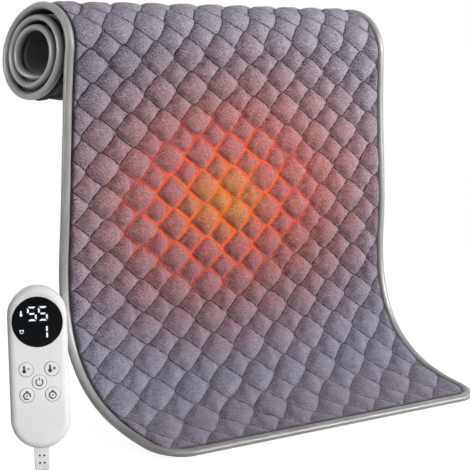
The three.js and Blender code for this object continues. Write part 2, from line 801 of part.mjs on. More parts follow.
function rearShell() {
  const post = ([x, y]) => solid(bar(POST_RADIUS, -faceZ + CASE_WALL / 2, boardBackZ - GAP, x, y, SCREW_STEPS));
  const bore = ([x, y]) => solid(bar(SCREW_RADIUS + GAP, -CASE_DEPTH, 0, x, y, SCREW_STEPS));
  const sink = ([x, y]) => {
    const floor = -faceZ + SCREW_HEAD_DEPTH + GAP;
    return solid(bar(SCREW_HEAD_RADIUS + GAP, -CASE_DEPTH, floor, x, y, SCREW_STEPS));
  };
  let shell = caseBody(0).subtract(caseBody(CASE_WALL)).intersect(halfSpace(-1));
  for (const place of screwPlaces) shell = shell.add(post(place).intersect(caseBody(CASE_WALL / 2)));
  for (const place of screwPlaces) shell = shell.subtract(bore(place)).subtract(sink(place));
  return geometryOf(shell.subtract(reliefSlot()));
}

// A button's cap, the flange that keeps it in the case and the stem over its switch.
function buttonCap() {
  const top = faceZ + BUTTON_PROUD;
  const flangeTop = innerFaceZ - GAP;
  const flangeRadius = BUTTON_RADIUS + BUTTON_FLANGE;
  const flangeBottom = flangeTop - BUTTON_FLANGE_THICKNESS;
  const stemBottom = switchTopZ + BUTTON_TRAVEL + GAP;
  const outline = [
    [0, stemBottom],
    [BUTTON_STEM_RADIUS, stemBottom],
    [BUTTON_STEM_RADIUS, flangeBottom],
    [flangeRadius, flangeBottom],
    [flangeRadius, flangeTop],
    [BUTTON_RADIUS, flangeTop],
    [BUTTON_RADIUS, top - BUTTON_EDGE],
    [BUTTON_RADIUS - BUTTON_EDGE, top],
    [0, top],
  ].map(([x, z]) => new THREE.Vector2(x, z));
  const geometry = new THREE.LatheGeometry(outline, BUTTON_STEPS).rotateX(Math.PI / 2);
  return geometryOf(solid(geometry));
}

function circuitBoard() {
  const shrink = CASE_WALL + BOARD_INSET;
  const shape = capsuleShape(CASE_WIDTH - 2 * shrink, CASE_HEIGHT - 2 * shrink);
  const sheet = new THREE.ExtrudeGeometry(shape, {
    depth: BOARD_THICKNESS,
    bevelEnabled: false,
    curveSegments: CASE_ARC_STEPS,
  });
  let board = solid(sheet.translate(0, 0, boardBackZ));
  for (const [x, y] of screwPlaces) {
    board = board.subtract(solid(bar(SCREW_RADIUS + GAP, -CASE_DEPTH, CASE_DEPTH, x, y, SCREW_STEPS)));
  }
  const notchWidth = RELIEF_WIDTH + 2 * RELIEF_FLANGE + 2 * GAP;
  const notchTop = reliefFlangeTop() + GAP;
  const notchHeight = 2 * (notchTop + CASE_HEIGHT / 2);
  const notch = solid(box(notchWidth, notchHeight, CASE_DEPTH, 0, -CASE_HEIGHT / 2, 0));
  return geometryOf(board.subtract(notch));
}

function reliefFlangeTop() {
  return riseToY(CASE_ROUNDING + CASE_WALL + GAP + RELIEF_FLANGE_LENGTH);
}

// Strain relief: a flat tapered block with a flange inside the case and four dimples on its face.
function strainRelief() {
  const flangeTop = reliefFlangeTop();
  const flangeBottom = flangeTop - RELIEF_FLANGE_LENGTH;
  const bottom = -CASE_HEIGHT / 2 - RELIEF_LENGTH;
  const outline = new THREE.Shape([
    new THREE.Vector2(-RELIEF_END_WIDTH / 2, bottom),
    new THREE.Vector2(RELIEF_END_WIDTH / 2, bottom),
    new THREE.Vector2(RELIEF_WIDTH / 2, -CASE_HEIGHT / 2),
    new THREE.Vector2(RELIEF_WIDTH / 2, flangeBottom),
    new THREE.Vector2(RELIEF_WIDTH / 2 + RELIEF_FLANGE, flangeBottom),
    new THREE.Vector2(RELIEF_WIDTH / 2 + RELIEF_FLANGE, flangeTop),
    new THREE.Vector2(-RELIEF_WIDTH / 2 - RELIEF_FLANGE, flangeTop),
    new THREE.Vector2(-RELIEF_WIDTH / 2 - RELIEF_FLANGE, flangeBottom),
    new THREE.Vector2(-RELIEF_WIDTH / 2, flangeBottom),
    new THREE.Vector2(-RELIEF_WIDTH / 2, -CASE_HEIGHT / 2),
  ]);
  const block = new THREE.ExtrudeGeometry(outline, { depth: RELIEF_THICKNESS, bevelEnabled: false });
  let relief = solid(block.translate(0, 0, -RELIEF_THICKNESS / 2));
  const face = RELIEF_THICKNESS / 2;
  for (const drop of RELIEF_DOT_DROPS) {
    for (const side of [-1, 1]) {
      const x = side * RELIEF_DOT_SPACING / 2;
      const y = -CASE_HEIGHT / 2 - drop;
      const dot = bar(RELIEF_DOT_RADIUS, face - RELIEF_DOT_DEPTH, CASE_DEPTH, x, y, SCREW_STEPS);
      relief = relief.subtract(solid(dot));
    }
  }
  return geometryOf(relief);
}

function caseScrew([x, y]) {
  const head = solid(bar(SCREW_HEAD_RADIUS, -faceZ + GAP, -faceZ + SCREW_HEAD_DEPTH, x, y, SCREW_STEPS));
  const start = -faceZ + SCREW_HEAD_DEPTH - GAP;
  const shank = solid(bar(SCREW_RADIUS, start, BOARD_FRONT + SCREW_BITE, x, y, SCREW_STEPS));
  return geometryOf(head.add(shank));
}

// A piece on the board, its base one gap in front of it or behind it.
function onBoard(side, size, x, y) {
  const base = side > 0 ? BOARD_FRONT : boardBackZ;
  return box(size[0], size[1], size[2], x, y, base + side * (GAP + size[2] / 2));
}

// A round part lying along y behind the board.
function behindBoard(radius, length, x, y) {
  const tube = new THREE.CylinderGeometry(radius, radius, length, SCREW_STEPS);
  return tube.translate(x, y, boardBackZ - GAP - radius);
}

function buildController(parent) {
  const white = finish(COLOURS.white, 0.35);
  const dark = finish(COLOURS.dark, 0.5);
  const steel = finish(COLOURS.steel, 0.35, 1);
  const controller = new THREE.Group();
  controller.rotation.x = Math.PI / 2;
  controller.position.z = RELIEF_LENGTH + CASE_HEIGHT / 2;
  parent.add(controller);
  addPiece(controller, "front_shell", frontShell(), white);
  addPiece(controller, "rear_shell", rearShell(), white);
  const lens = bar(LENS_RADIUS, lensSeatZ + GAP, faceZ, 0, lensY);
  addPiece(controller, "display_lens", lens, finish(COLOURS.black, 0.12));
  const module = bar(windowRadius - MODULE_CLEARANCE, BOARD_FRONT + GAP, lensSeatZ, 0, lensY);
  addPiece(controller, "display_module", module, dark);
  addPiece(controller, "circuit_board", circuitBoard(), finish(COLOURS.board, 0.6));
  for (const [name, x, y] of buttonPlaces) {
    const button = addPiece(controller, `button_${name}`, buttonCap(), white);
    button.position.set(x, y, 0);
    const tact = onBoard(1, [SWITCH_SIZE, SWITCH_SIZE, SWITCH_HEIGHT], x, y);
    addPiece(controller, `tact_switch_${name}`, tact, dark);
  }
  addPiece(controller, "microcontroller", onBoard(1, CHIP_SIZE, 0, riseToY(CHIP_RISE)), dark);
  addPiece(controller, "heater_relay", onBoard(-1, RELAY_SIZE, 0, dropToY(RELAY_DROP)), dark);
  const terminalY = reliefFlangeTop() + TERMINAL_CLEARANCE + TERMINAL_SIZE[1] / 2;
  addPiece(controller, "terminal_block", onBoard(-1, TERMINAL_SIZE, 0, terminalY), dark);
  const tubeY = dropToY(TUBE_PARTS_DROP);
  const capacitor = behindBoard(CAPACITOR_RADIUS, CAPACITOR_LENGTH, -TUBE_PARTS_SPACING, tubeY);
  addPiece(controller, "filter_capacitor", capacitor, dark);
  const fuse = behindBoard(FUSE_RADIUS, FUSE_LENGTH, TUBE_PARTS_SPACING, tubeY);
  addPiece(controller, "fuse", fuse, finish(COLOURS.grey, 0.3));
  screwPlaces.forEach((place, i) => addPiece(controller, `case_screw_${i + 1}`, caseScrew(place), steel));
  addPiece(controller, "strain_relief", strainRelief(), finish(COLOURS.relief, 0.6));
}

// Leads, in the stand's frame. A lead on the left is the mirror image of one on the right.

function cordSection(sides) {
  const corners = Array.from({ length: sides }, (_, i) => {
    const angle = 2 * Math.PI * (i + 0.5) / sides;
    return new THREE.Vector2(CORD_RADIUS * Math.cos(angle), CORD_RADIUS * Math.sin(angle));
  });
  return new THREE.Shape(corners);
}

function cordTube(points, sides, steps) {
  const extrudePath = new THREE.CatmullRomCurve3(points, false, "centripetal");
  return geometryOf(solid(new THREE.ExtrudeGeometry(cordSection(sides), { steps, extrudePath })));
}

function leadPoints(side) {
  return LEAD_POINTS.map(([x, y, z]) => new THREE.Vector3(side * x, y, z));
}

// A coil's turns: in along the floor, up a layer in half a turn, and out again on top.
function coilPoints(side, turns) {
  const [joinX, joinY] = LEAD_POINTS.at(-1);
  const outerRadius = COIL_INNER_RADIUS + COIL_PITCH * turns / 2;
  const centreX = joinX + outerRadius;
  const centreY = joinY - GAP - 2 * CORD_RADIUS;
  const climbStart = (turns - CLIMB_TURNS) / 2;
  const points = [new THREE.Vector3(side * joinX, joinY - GAP, COIL_BASE)];
  const steps = Math.round(turns * COIL_STEPS_PER_TURN);
  for (let i = 0; i <= steps; i += 1) {
    const turn = turns * i / steps;
    const radius = COIL_INNER_RADIUS + COIL_PITCH * Math.abs(turn - turns / 2);
    const angle = Math.PI + 2 * Math.PI * turn;
    const climb = THREE.MathUtils.smoothstep(turn, climbStart, climbStart + CLIMB_TURNS);
    points.push(new THREE.Vector3(
      side * (centreX + radius * Math.cos(angle)),
      centreY + radius * Math.sin(angle),
      COIL_BASE + COIL_LAYER * climb,
    ));
  }
  const last = points.at(-1);
  points.push(last.clone().add(new THREE.Vector3(0, 2 * CORD_RADIUS, 0)));
  return points;
}

// The least clear distance between two stretches of a coil that aren't neighbours along it.
function leastGap(points) {
  const apart = Math.round(COIL_STEPS_PER_TURN / 3);
  let least = Infinity;
  for (let i = 0; i < points.length; i += 1) {
    for (let k = i + apart; k < points.length; k += 1) {
      least = Math.min(least, points[i].distanceTo(points[k]));
    }
  }
  return least - 2 * CORD_RADIUS;
}

function tailPoints(start) {
  return TAIL_POINTS.map(([x, y, z]) => new THREE.Vector3(start.x + x, start.y + GAP + y, z));
}

function pathLength(points) {
  return points.slice(1).reduce((sum, point, i) => sum + point.distanceTo(points[i]), 0);
}

// A strap round all the turns of a coil, on the side toward the viewer.
function coilTie(side, turns) {
  const outerRadius = COIL_INNER_RADIUS + COIL_PITCH * turns / 2;
  const [joinX, joinY] = LEAD_POINTS.at(-1);
  const inner = COIL_INNER_RADIUS - COIL_PITCH / 2 - CORD_RADIUS;
  const outer = outerRadius + CORD_RADIUS + GAP;
  const opening = [outer - inner, COIL_LAYER + 2 * CORD_RADIUS + 2 * GAP];
  const middle = -(inner + outer) / 2;
  const height = TIE_THICKNESS + opening[1] / 2;
  const band = solid(box(TIE_WIDTH, opening[0] + 2 * TIE_THICKNESS, opening[1] + 2 * TIE_THICKNESS));
  const hole = solid(box(2 * TIE_WIDTH, opening[0], opening[1]));
  const tie = geometryOf(band.subtract(hole));
  return tie.translate(side * (joinX + outerRadius), joinY - GAP - 2 * CORD_RADIUS + middle, height);
}

// A flat two-pin plug, its cord entering along +y.
function plugBody() {
  const [half, waist] = [PLUG_WIDTH / 2 - PLUG_ROUNDING, PLUG_WAIST / 2 - PLUG_ROUNDING];
  const shape = new THREE.Shape([
    new THREE.Vector2(-waist, PLUG_ROUNDING),
    new THREE.Vector2(waist, PLUG_ROUNDING),
    new THREE.Vector2(half, PLUG_LENGTH / 2),
    new THREE.Vector2(half, PLUG_LENGTH - PLUG_ROUNDING),
    new THREE.Vector2(-half, PLUG_LENGTH - PLUG_ROUNDING),
    new THREE.Vector2(-half, PLUG_LENGTH / 2),
  ]);
  const depth = PLUG_THICKNESS - 2 * PLUG_ROUNDING;
  const flat = new THREE.ExtrudeGeometry(shape, {
    depth,
    bevelSize: PLUG_ROUNDING,
    bevelThickness: PLUG_ROUNDING,
    bevelSegments: 2,
  });
  const boot = new THREE.CylinderGeometry(PLUG_BOOT_RADIUS, CORD_RADIUS + GAP, PLUG_BOOT_LENGTH, SCREW_STEPS);
  let body = solid(flat.translate(0, 0, -depth / 2));
  body = body.add(solid(boot.translate(0, PLUG_ROUNDING - PLUG_BOOT_LENGTH / 2, 0)));
  for (const x of [-PIN_SPACING / 2, PIN_SPACING / 2]) {
    const seat = new THREE.CylinderGeometry(PIN_RADIUS + GAP, PIN_RADIUS + GAP, 2 * PIN_SOCKET_DEPTH, SCREW_STEPS);
    body = body.subtract(solid(seat.translate(x, PLUG_LENGTH, 0)));
  }
  return geometryOf(body);
}

function plugPin() {
  const pin = new THREE.CylinderGeometry(PIN_RADIUS, PIN_RADIUS, PIN_LENGTH + PIN_SOCKET_DEPTH - GAP, SCREW_STEPS);
  return pin.translate(0, PLUG_LENGTH + (PIN_LENGTH - PIN_SOCKET_DEPTH + GAP) / 2, 0);
}

// The pad lead's connector: a flat grip and the nose that goes into the pad's socket.
function connectorBody(height) {
  const [width, length] = CONNECTOR_SIZE;
  const [noseWidth, noseLength, noseHeight] = CONNECTOR_NOSE;
  const grip = solid(box(width, length, 2 * height, 0, length / 2, 0));
  const nose = solid(box(noseWidth, 2 * noseLength, noseHeight, 0, length, 0));
  const boot = new THREE.CylinderGeometry(PLUG_BOOT_RADIUS, CORD_RADIUS + GAP, PLUG_BOOT_LENGTH, SCREW_STEPS);
  return geometryOf(grip.add(nose).add(solid(boot.translate(0, GAP - PLUG_BOOT_LENGTH / 2, 0))));
}

function buildLead(parent, name, side, turns) {
  const cord = finish(COLOURS.cord, 0.55);
  const start = leadPoints(side);
  const coil = coilPoints(side, turns);
  const tail = tailPoints(coil.at(-1));
  addPiece(parent, `${name}_lead`, cordTube(start, CORD_SIDES, start.length), cord);
  addPiece(parent, `${name}_coil`, cordTube(coil, COIL_SIDES, coil.length - 1), cord);
  addPiece(parent, `${name}_tail`, cordTube(tail, CORD_SIDES, tail.length), cord);
  addPiece(parent, `${name}_tie`, coilTie(side, turns), finish(COLOURS.dark, 0.8));
  const length = pathLength(start) + pathLength(coil) + pathLength(tail);
  console.log(`${name} lead: ${length.toFixed(0)} mm, least gap ${leastGap(coil).toFixed(2)} mm`);
  return tail.at(-1);
}

function buildLeads(parent) {
  const white = finish(COLOURS.white, 0.45);
  const steel = finish(COLOURS.steel, 0.3, 1);
  const boot = PLUG_BOOT_LENGTH - PLUG_ROUNDING + GAP;
  const supplyEnd = buildLead(parent, "supply", -1, SUPPLY_TURNS);
  const plug = new THREE.Group();
  plug.position.copy(supplyEnd).add(new THREE.Vector3(0, boot, 0));
  parent.add(plug);
  addPiece(plug, "mains_plug", plugBody(), white);
  for (const [name, x] of [["plug_pin_left", -PIN_SPACING / 2], ["plug_pin_right", PIN_SPACING / 2]]) {
    addPiece(plug, name, plugPin(), steel).position.x = x;
  }
  const padEnd = buildLead(parent, "pad", 1, PAD_LEAD_TURNS);
  const connector = addPiece(parent, "pad_connector", connectorBody(padEnd.z), white);
  connector.position.copy(padEnd).add(new THREE.Vector3(0, PLUG_BOOT_LENGTH, 0));
}

buildPad();
const stand = new THREE.Group();
stand.position.set(FOOT_X, FOOT_Y, -CORE_HEIGHT);
stand.rotation.z = STAND_YAW;
heatingPad.add(stand);
const lean = new THREE.Group();
lean.position.z = CORD_DROP;
lean.rotation.y = STAND_LEAN;
stand.add(lean);
buildController(lean);
buildLeads(stand);
console.log(`pad: ${PAD_WIDTH} x ${(profile.length + BINDING_WIDTH).toFixed(0)} mm flat`);

export default heatingPad;
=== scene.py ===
# Looks of a quilted heating pad with its wired controller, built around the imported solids.
# Lengths are written in millimetres and become metres when a mesh is made.
import json
import math

import bmesh
import bpy
import numpy as np
from mathutils import Matrix, Vector


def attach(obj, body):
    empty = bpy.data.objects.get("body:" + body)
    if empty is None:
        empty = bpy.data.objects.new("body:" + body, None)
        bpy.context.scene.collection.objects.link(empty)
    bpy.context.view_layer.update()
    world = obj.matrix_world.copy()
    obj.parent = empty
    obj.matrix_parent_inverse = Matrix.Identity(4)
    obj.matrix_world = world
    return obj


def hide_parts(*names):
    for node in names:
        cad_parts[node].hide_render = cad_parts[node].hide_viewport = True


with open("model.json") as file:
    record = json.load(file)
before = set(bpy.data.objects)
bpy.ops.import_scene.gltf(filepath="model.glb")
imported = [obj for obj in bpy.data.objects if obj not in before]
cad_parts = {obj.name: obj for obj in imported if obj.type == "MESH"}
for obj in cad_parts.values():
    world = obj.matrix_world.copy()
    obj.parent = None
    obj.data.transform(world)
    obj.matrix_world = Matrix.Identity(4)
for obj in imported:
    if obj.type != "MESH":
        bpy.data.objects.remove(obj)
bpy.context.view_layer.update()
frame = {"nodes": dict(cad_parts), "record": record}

MM = 0.001
CM_PER_MM = 0.1
ROOT = "pad_and_controller"

# Floor and camera
FLOOR_Z = -318
CAMERA_PLACE = (-1.17782, -1.26528, 0.00018)
CAMERA_RIGHT = (0.71978, -0.69420, 0)
CAMERA_UP = (0.06584, 0.06827, 0.99549)
CAMERA_LENS = 145.53
CAMERA_SENSOR = 36

# Pad outline and edge binding
PAD_WIDTH = 400
BINDING_WIDTH = 8.5
BINDING_THICKNESS = 5.2
CORNER_RADIUS = 26
COVER_INSET = BINDING_WIDTH / 2 + 0.3
EDGE_X = (PAD_WIDTH - BINDING_WIDTH) / 2

# Roll: a spiral that tightens toward the core. Its outer turns lie flatter behind
# and lean forward over the top.
ROLL_OUTER_DEPTH = 47.4
ROLL_OUTER_HEIGHT = 43
ROLL_INNER_DEPTH = 20.2
ROLL_INNER_HEIGHT = 18.4
ROLL_FLATNESS = 7
ROLL_LEAN = 9.2
ROLL_SETTLING = 0.55
ROLL_TURNS = 2.85
ROLL_LIMIT_TURNS = 3
ROLL_TIGHTENING = 1.33

# Hanging sheet: down from the roll, then forward to the hem on the floor
HEM = (-167, 3.4 + FLOOR_Z)
HEM_TANGENT = (1, 0.19)
BELLY = (9.4 - ROLL_OUTER_DEPTH, -161)
BELLY_TANGENT = (-0.082, 1)
HANG_HANDLE = 50
ROLL_HANDLE = 25
SWEEP_HANDLE = 123
HEM_HANDLE = 67
ROLL_SKEW = 11
HEM_SKEW = 5
ROLL_SKEW_LENGTH = 170
HEM_SKEW_LENGTH = 110
LEAN_FADING = 0.75
LEAN_EASING = 25
PROFILE_SAMPLES = 600

# Heights of the pad's layers over its middle, along the normal of the quilted face
BACK_BOTTOM = -2.6
BACK_TOP = -1.5
COVER_BOTTOM = 0.9
SEAM_HEIGHT = 1.5
ROLLED_TUFTS = 0.25
OUTER_TURN_TUFTS = 0.5
HEM_TUFTS = 0.42
HEM_TUFTS_LENGTH = 200
QUILTED_TURNS = 1.06
ROLLING_IN = 30
EDGE_TUCK = 6.5

# Quilting: columns of tufts run down the pad and rows across it. Both bend a little toward the hem,
# where the rows also grow longer. The lattice counts tufts along the two slanting directions of the seams.
TUFT_X = -83.2
TUFT_ALONG = 300.5
COLUMN_STEP = (37.3, -3.0)
ROW_STEP = (4.6, 28.8)
ROW_BEND = (-0.33, -0.05)
COLUMN_WIDENING = 0.06
COLUMN_LEVELLING = 0.33
BENT_ROWS = (-3, 8)
LONG_ROWS_FROM = 5.5
LONG_ROWS = 3.5
ROW_LENGTHENING = 3.4
LONG_ROW_SHIFT = 1.1
LATTICE_ROUNDS = 80
CELL_STEPS = 10
LARGE_TUFT_BULGE = 0.06
BULGE_SQUARENESS = 0.25

# Tufts: a flat patch of the cover, sewn down along its seams and puffed by a cloth simulation
PATCH_CELLS = 6
PATCH_SCALE = 10
PATCH_SEED = 4
PATCH_FRAMES = 30
PATCH_SLACK = 0.1
PATCH_PRESSURE = 9
LARGE_TUFT_PRESSURE = 0.75
START_RISE = 0.3
START_UNEVENNESS = 0.05
LARGE_TUFT_RISE = 6.2
SMALL_TUFT_RISE = 5.2
TUFT_FILL = 0.85

# Warm glow that the photograph shows in the middle of the pad
GLOW_X = -16
GLOW_Z = -129
GLOW_FLATNESS = (0.64, 1, 1)
GLOW_TINT_SHIFT = (1.0, 0, 0)

# Pile: strokes of the nap in each direction of a tuft, and ribs along its seams
NAP_STROKES = (6.0, 25.0, 1.0)
RIBS_PER_TUFT = 15

# Controller case
CASE_WIDTH = 42
CASE_HEIGHT = 115.6
CASE_DEPTH = 19
CASE_ROUNDING = 4.8
CASE_WALL = 2
PARTING_GAP = 0.3
PARTING_CHAMFER = 0.25
CASE_ARC_STEPS = 40
CASE_ROUNDING_STEPS = 8
FACE_Z = CASE_DEPTH / 2
CLEARANCE = 0.3
FACE_SUPPORT = 0.4
HOLE_START = 1

# Display window
LENS_RADIUS = 17.7
LENS_THICKNESS = 1.9
LENS_LEDGE = 2.2
LENS_Y = CASE_HEIGHT / 2 - 24.8
LENS_EDGE = 0.35
LENS_RIM = 0.6

# Buttons
BUTTON_RADIUS = 5.1
BUTTON_PROUD = 0.35
BUTTON_EDGE = 0.45
BUTTON_FLANGE_RADIUS = 6
BUTTON_FLANGE_TOP = FACE_Z - CASE_WALL - CLEARANCE
BUTTON_STEM_RADIUS = 1.8
BUTTON_STEM_BOTTOM = 4.8
BUTTON_CENTRE_Y = CASE_HEIGHT / 2 - 67.4
BUTTON_SPACING_ACROSS = 9
BUTTON_SPACING_DOWN = 9.1
BUTTON_PLACES = {
    "heat_down": (-1, 1),
    "heat_up": (1, 1),
    "power": (0, 0),
    "timer_down": (-1, -1),
    "timer_up": (1, -1),
}
ICON_RISE = 0.05
ICON_SINK = 0.1
BUTTON_FLANGE = 1
BUTTON_RIM = 0.7

# Case screws
SCREW_PLACES = [(x, y) for y in (CASE_HEIGHT / 2 - 11.5, 20 - CASE_HEIGHT / 2) for x in (-13.2, 13.2)]
SCREW_HEAD_RADIUS = 2.3
SCREW_HEAD_DEPTH = 1.8
SCREW_RADIUS = 1.2
SCREW_HEAD_CHAMFER = (0.5, 0.45)
SCREW_TIP_Z = 4.6
SCREW_SLOT = (2.6, 0.6)
SCREW_SLOT_DEPTH = 0.8

# Strain relief
RELIEF_LENGTH = 15.8
RELIEF_WIDTH = 11.2
RELIEF_END_WIDTH = 10.6
RELIEF_THICKNESS = 7
RELIEF_ROUNDING = 0.7
RELIEF_TOP = 6.5 - CASE_HEIGHT / 2
RELIEF_DOT_RADIUS = 0.8
RELIEF_DOT_DEPTH = 2.2
RELIEF_DOT_SPACING = 3.2
RELIEF_DOT_DROPS = (5.7, 11)
RELIEF_PLUG_SINK = 0.25
RELIEF_PLUG_GAP = 0.02
RELIEF_PLUG_EDGE = 0.3
RELIEF_CORNER = RELIEF_ROUNDING + 0.2
RELIEF_SLOT_CORNER = 0.6
RELIEF_SLOT_ROUNDING = 0.3

# Where the controller stands
FOOT = (-352.8, -212.6, FLOOR_Z)
STAND_YAW = math.radians(-37.4)
STAND_LEAN = math.radians(-1.55)
CORD_DROP = 24.5

# Leads, in the stand's frame: x to the right, y behind and z above the floor
CORD_RADIUS = 2.2
COIL_PITCH = 4.9
COIL_INNER_RADIUS = 17.6
COIL_STEPS_PER_TURN = 24
COIL_BASE = 3.5
CLIMB_TURNS = 0.5
SUPPLY_TURNS = 7.5
PAD_LEAD_TURNS = 3.5
LEAD_POINTS = [
    (2.7, 0, 24.2), (2.7, 0, 22), (2.7, 0, 19.8), (2.7, -1.3, 13.1), (2.7, -5.2, 7.5),
    (2.7, -10.9, 3.7), (2.7, -17.6, 2.4), (2.8, -24, 2.3), (3.3, -30, 2.3), (4.4, -36, 2.4),
    (5.8, -42, 2.6), (7.3, -48, 2.9), (8.4, -54, 3.2), (8.9, -60, 3.5), (9, -66, 3.5),
    (9, -70, 3.5),
]
TAIL_POINTS = [
    (0, 0.3, 8.4), (0, 4.3, 8.4), (0, 9.3, 8.2), (0, 14.3, 7.7), (0, 19.3, 7.2), (0, 24.3, 6.9),
    (0, 29.3, 6.9),
]
TIE_WIDTH = 9
TIE_THICKNESS = 1
TIE_ROUNDING = 2.6

# Pieces on the leads' ends
BOOT_LENGTH = 16
BOOT_RADIUS = 4.4
BOOT_STEP = 0.45
BOOT_RIBS = 6
BOOT_RIB_SPAN = (0.12, 0.62)
BOOT_GROOVE = 0.75
BOOT_SLOPE = 0.3
BOOT_COLLAR = 0.4
PLUG_WIDTH = 35
PLUG_WAIST = 26
PLUG_THICKNESS = 13.7
PLUG_LENGTH = 24
PLUG_SHOULDER = 0.45
PLUG_ROUNDING = 2.6
PLUG_CORNER = PLUG_ROUNDING + 1.5
PLUG_OVERLAP = 2
PIN_RADIUS = 2
PIN_STEP = 0.1
PIN_LENGTH = 19
PIN_ROOT = 3
PIN_SPACING = 18.6
PIN_SLEEVE = 9.5
PIN_TIP_ROUNDING = 1.4
CONNECTOR_WIDTH = 24
CONNECTOR_LENGTH = 22
CONNECTOR_CORNER = 3.5
CONNECTOR_ROUNDING = 2.2
CONNECTOR_NOSE = (18.6, 9, 4)
NOSE_ROOT = 2
NOSE_CORNER = 1.0
NOSE_ROUNDING = 0.6
RIDGES = 4
RIDGE_START = 6
RIDGE_PITCH = 3
RIDGE_SIZE = (14, 1.2)
RIDGE_CORNER = 0.5
RIDGE_SINK = 0.5
RIDGE_RISE = 0.45
RIDGE_ROUNDING = 0.3

# Steps round a turned piece, and how wide its ends on the axis are
LATHE_STEPS = 48
LENS_STEPS = 96
SEAT_STEPS = 72
SMALL_STEPS = 28
DOT_STEPS = 20
LATHE_TIP = 0.001

# How far in the faces of a rounded slab start, against its rim's rounding
RIM_SUPPORT = 1.15


# Meshes

def add_object(name, data):
    piece = bpy.data.objects.new(name, data)
    bpy.context.scene.collection.objects.link(piece)
    return piece


def make_piece(name, verts, faces, matrix=None, sharp_angle=35):
    """A piece from points in millimetres, shaded smooth apart from its sharp edges."""
    mesh = bpy.data.meshes.new(name)
    points = np.asarray(verts, dtype=float) * MM
    mesh.from_pydata(points.tolist(), [], [list(map(int, face)) for face in faces])
    if matrix is not None:
        mesh.transform(matrix)
    finish_mesh(mesh, sharp_angle)
    return add_object(name, mesh)


def finish_mesh(mesh, sharp_angle):
    """Turns the faces outward, marks the sharp edges and shades the rest smooth."""
    body = bmesh.new()
    body.from_mesh(mesh)
    bmesh.ops.remove_doubles(body, verts=body.verts, dist=MM * 0.001)
    bmesh.ops.recalc_face_normals(body, faces=body.faces)
    limit = math.radians(sharp_angle)
    for face in body.faces:
        face.smooth = True
    for edge in body.edges:
        if len(edge.link_faces) == 2:
            edge.smooth = edge.calc_face_angle(0) < limit
    body.to_mesh(mesh)
    body.free()
    mesh.update()


def set_uv(piece, name, corner_uvs):
    layer = piece.data.uv_layers.new(name=name)
    layer.data.foreach_set("uv", np.asarray(corner_uvs, dtype=np.float32).ravel())


def loft(rings, cap=True):
    """Faces that join closed rings of equal length, with a face on each end."""
    sides = len(rings[0])
    verts = [point for ring in rings for point in ring]
    faces = []
    for row in range(len(rings) - 1):
        for k in range(sides):
            near, next_near = row * sides + k, row * sides + (k + 1) % sides
            faces.append((near, next_near, next_near + sides, near + sides))
    if cap:
        faces.append(tuple(range(sides)))
        faces.append(tuple(range(len(verts) - sides, len(verts))))
    return verts, faces


def merge(*parts):
    """Several (points, faces) lists as one."""
    verts, faces = [], []
    for part_verts, part_faces in parts:
        start = len(verts)
        verts.extend(part_verts)
        faces.extend(tuple(i + start for i in face) for face in part_faces)
    return verts, faces


def moved(part, x=0.0, y=0.0):
    verts, faces = part
    return [(px + x, py + y, pz) for px, py, pz in verts], faces


def rectangle(left, low, right, high):
    return [(left, low), (right, low), (right, high), (left, high)]


def rod(radius, low, high):
    """The outline of a plain round bar, for lathe."""
    return [(0, low), (radius, low), (radius, high), (0, high)]


def lathe(outline, centre=(0, 0), steps=LATHE_STEPS):
    """A solid turned about local z through centre, from (radius, z) pairs that start and end on the axis."""
    x, y = centre
    angles = np.linspace(0, 2 * math.pi, steps, endpoint=False)
    rings = []
    for radius, z in outline:
        radius = max(radius, LATHE_TIP)
        rings.append([(x + radius * math.cos(t), y + radius * math.sin(t), z) for t in angles])
    return loft(rings)


def lathe_along_y(outline, x=0.0):
    """A small solid turned about an axis along local y, at x."""
    verts, faces = lathe(outline, steps=SMALL_STEPS)
    return [(px + x, pz, -py) for px, py, pz in verts], faces


def fillet(corner_radius, corner_z, size, steps=5):
    """A rounded outer edge for a lathe outline, from its side up onto its top."""
    angles = np.linspace(0, math.pi / 2, steps)
    return [(corner_radius - size + size * math.cos(t), corner_z - size + size * math.sin(t)) for t in angles]


def slab(corners, radius, low, high, rounding, steps=6):
    """A flat solid over a convex polygon, with rounded corners and rounded rims."""
    angles = np.linspace(0, math.pi / 2, steps)
    levels = [(rounding * (1 - math.sin(t)), low + rounding * (1 - math.cos(t))) for t in angles]
    levels += [(rounding * (1 - math.cos(t)), high - rounding + rounding * math.sin(t)) for t in angles]
    support = rounding * RIM_SUPPORT
    levels = [(support, low)] + levels + [(support, high)]
    return loft([[(x, y, z) for x, y in rounded_polygon(corners, radius, inset)] for inset, z in levels])


def rounded_polygon(corners, radius, inset, steps=7):
    """The outline of a convex polygon, counterclockwise, with rounded corners and drawn in by inset."""
    points = []
    count = len(corners)
    for i, corner in enumerate(corners):
        here = np.array(corner, dtype=float)
        before = np.array(corners[i - 1], dtype=float)
        after = np.array(corners[(i + 1) % count], dtype=float)
        into = (here - before) / np.linalg.norm(here - before)
        out = (after - here) / np.linalg.norm(after - here)
        normals = [np.array((d[1], -d[0])) for d in (into, out)]
        turn = math.acos(max(-1, min(1, float(into @ out))))
        centre = here + (out - into) / np.linalg.norm(out - into) * radius / math.cos(turn / 2)
        start = math.atan2(normals[0][1], normals[0][0])
        for k in range(steps):
            angle = start + turn * k / (steps - 1)
            points.append(centre + (radius - inset) * np.array((math.cos(angle), math.sin(angle))))
    return points


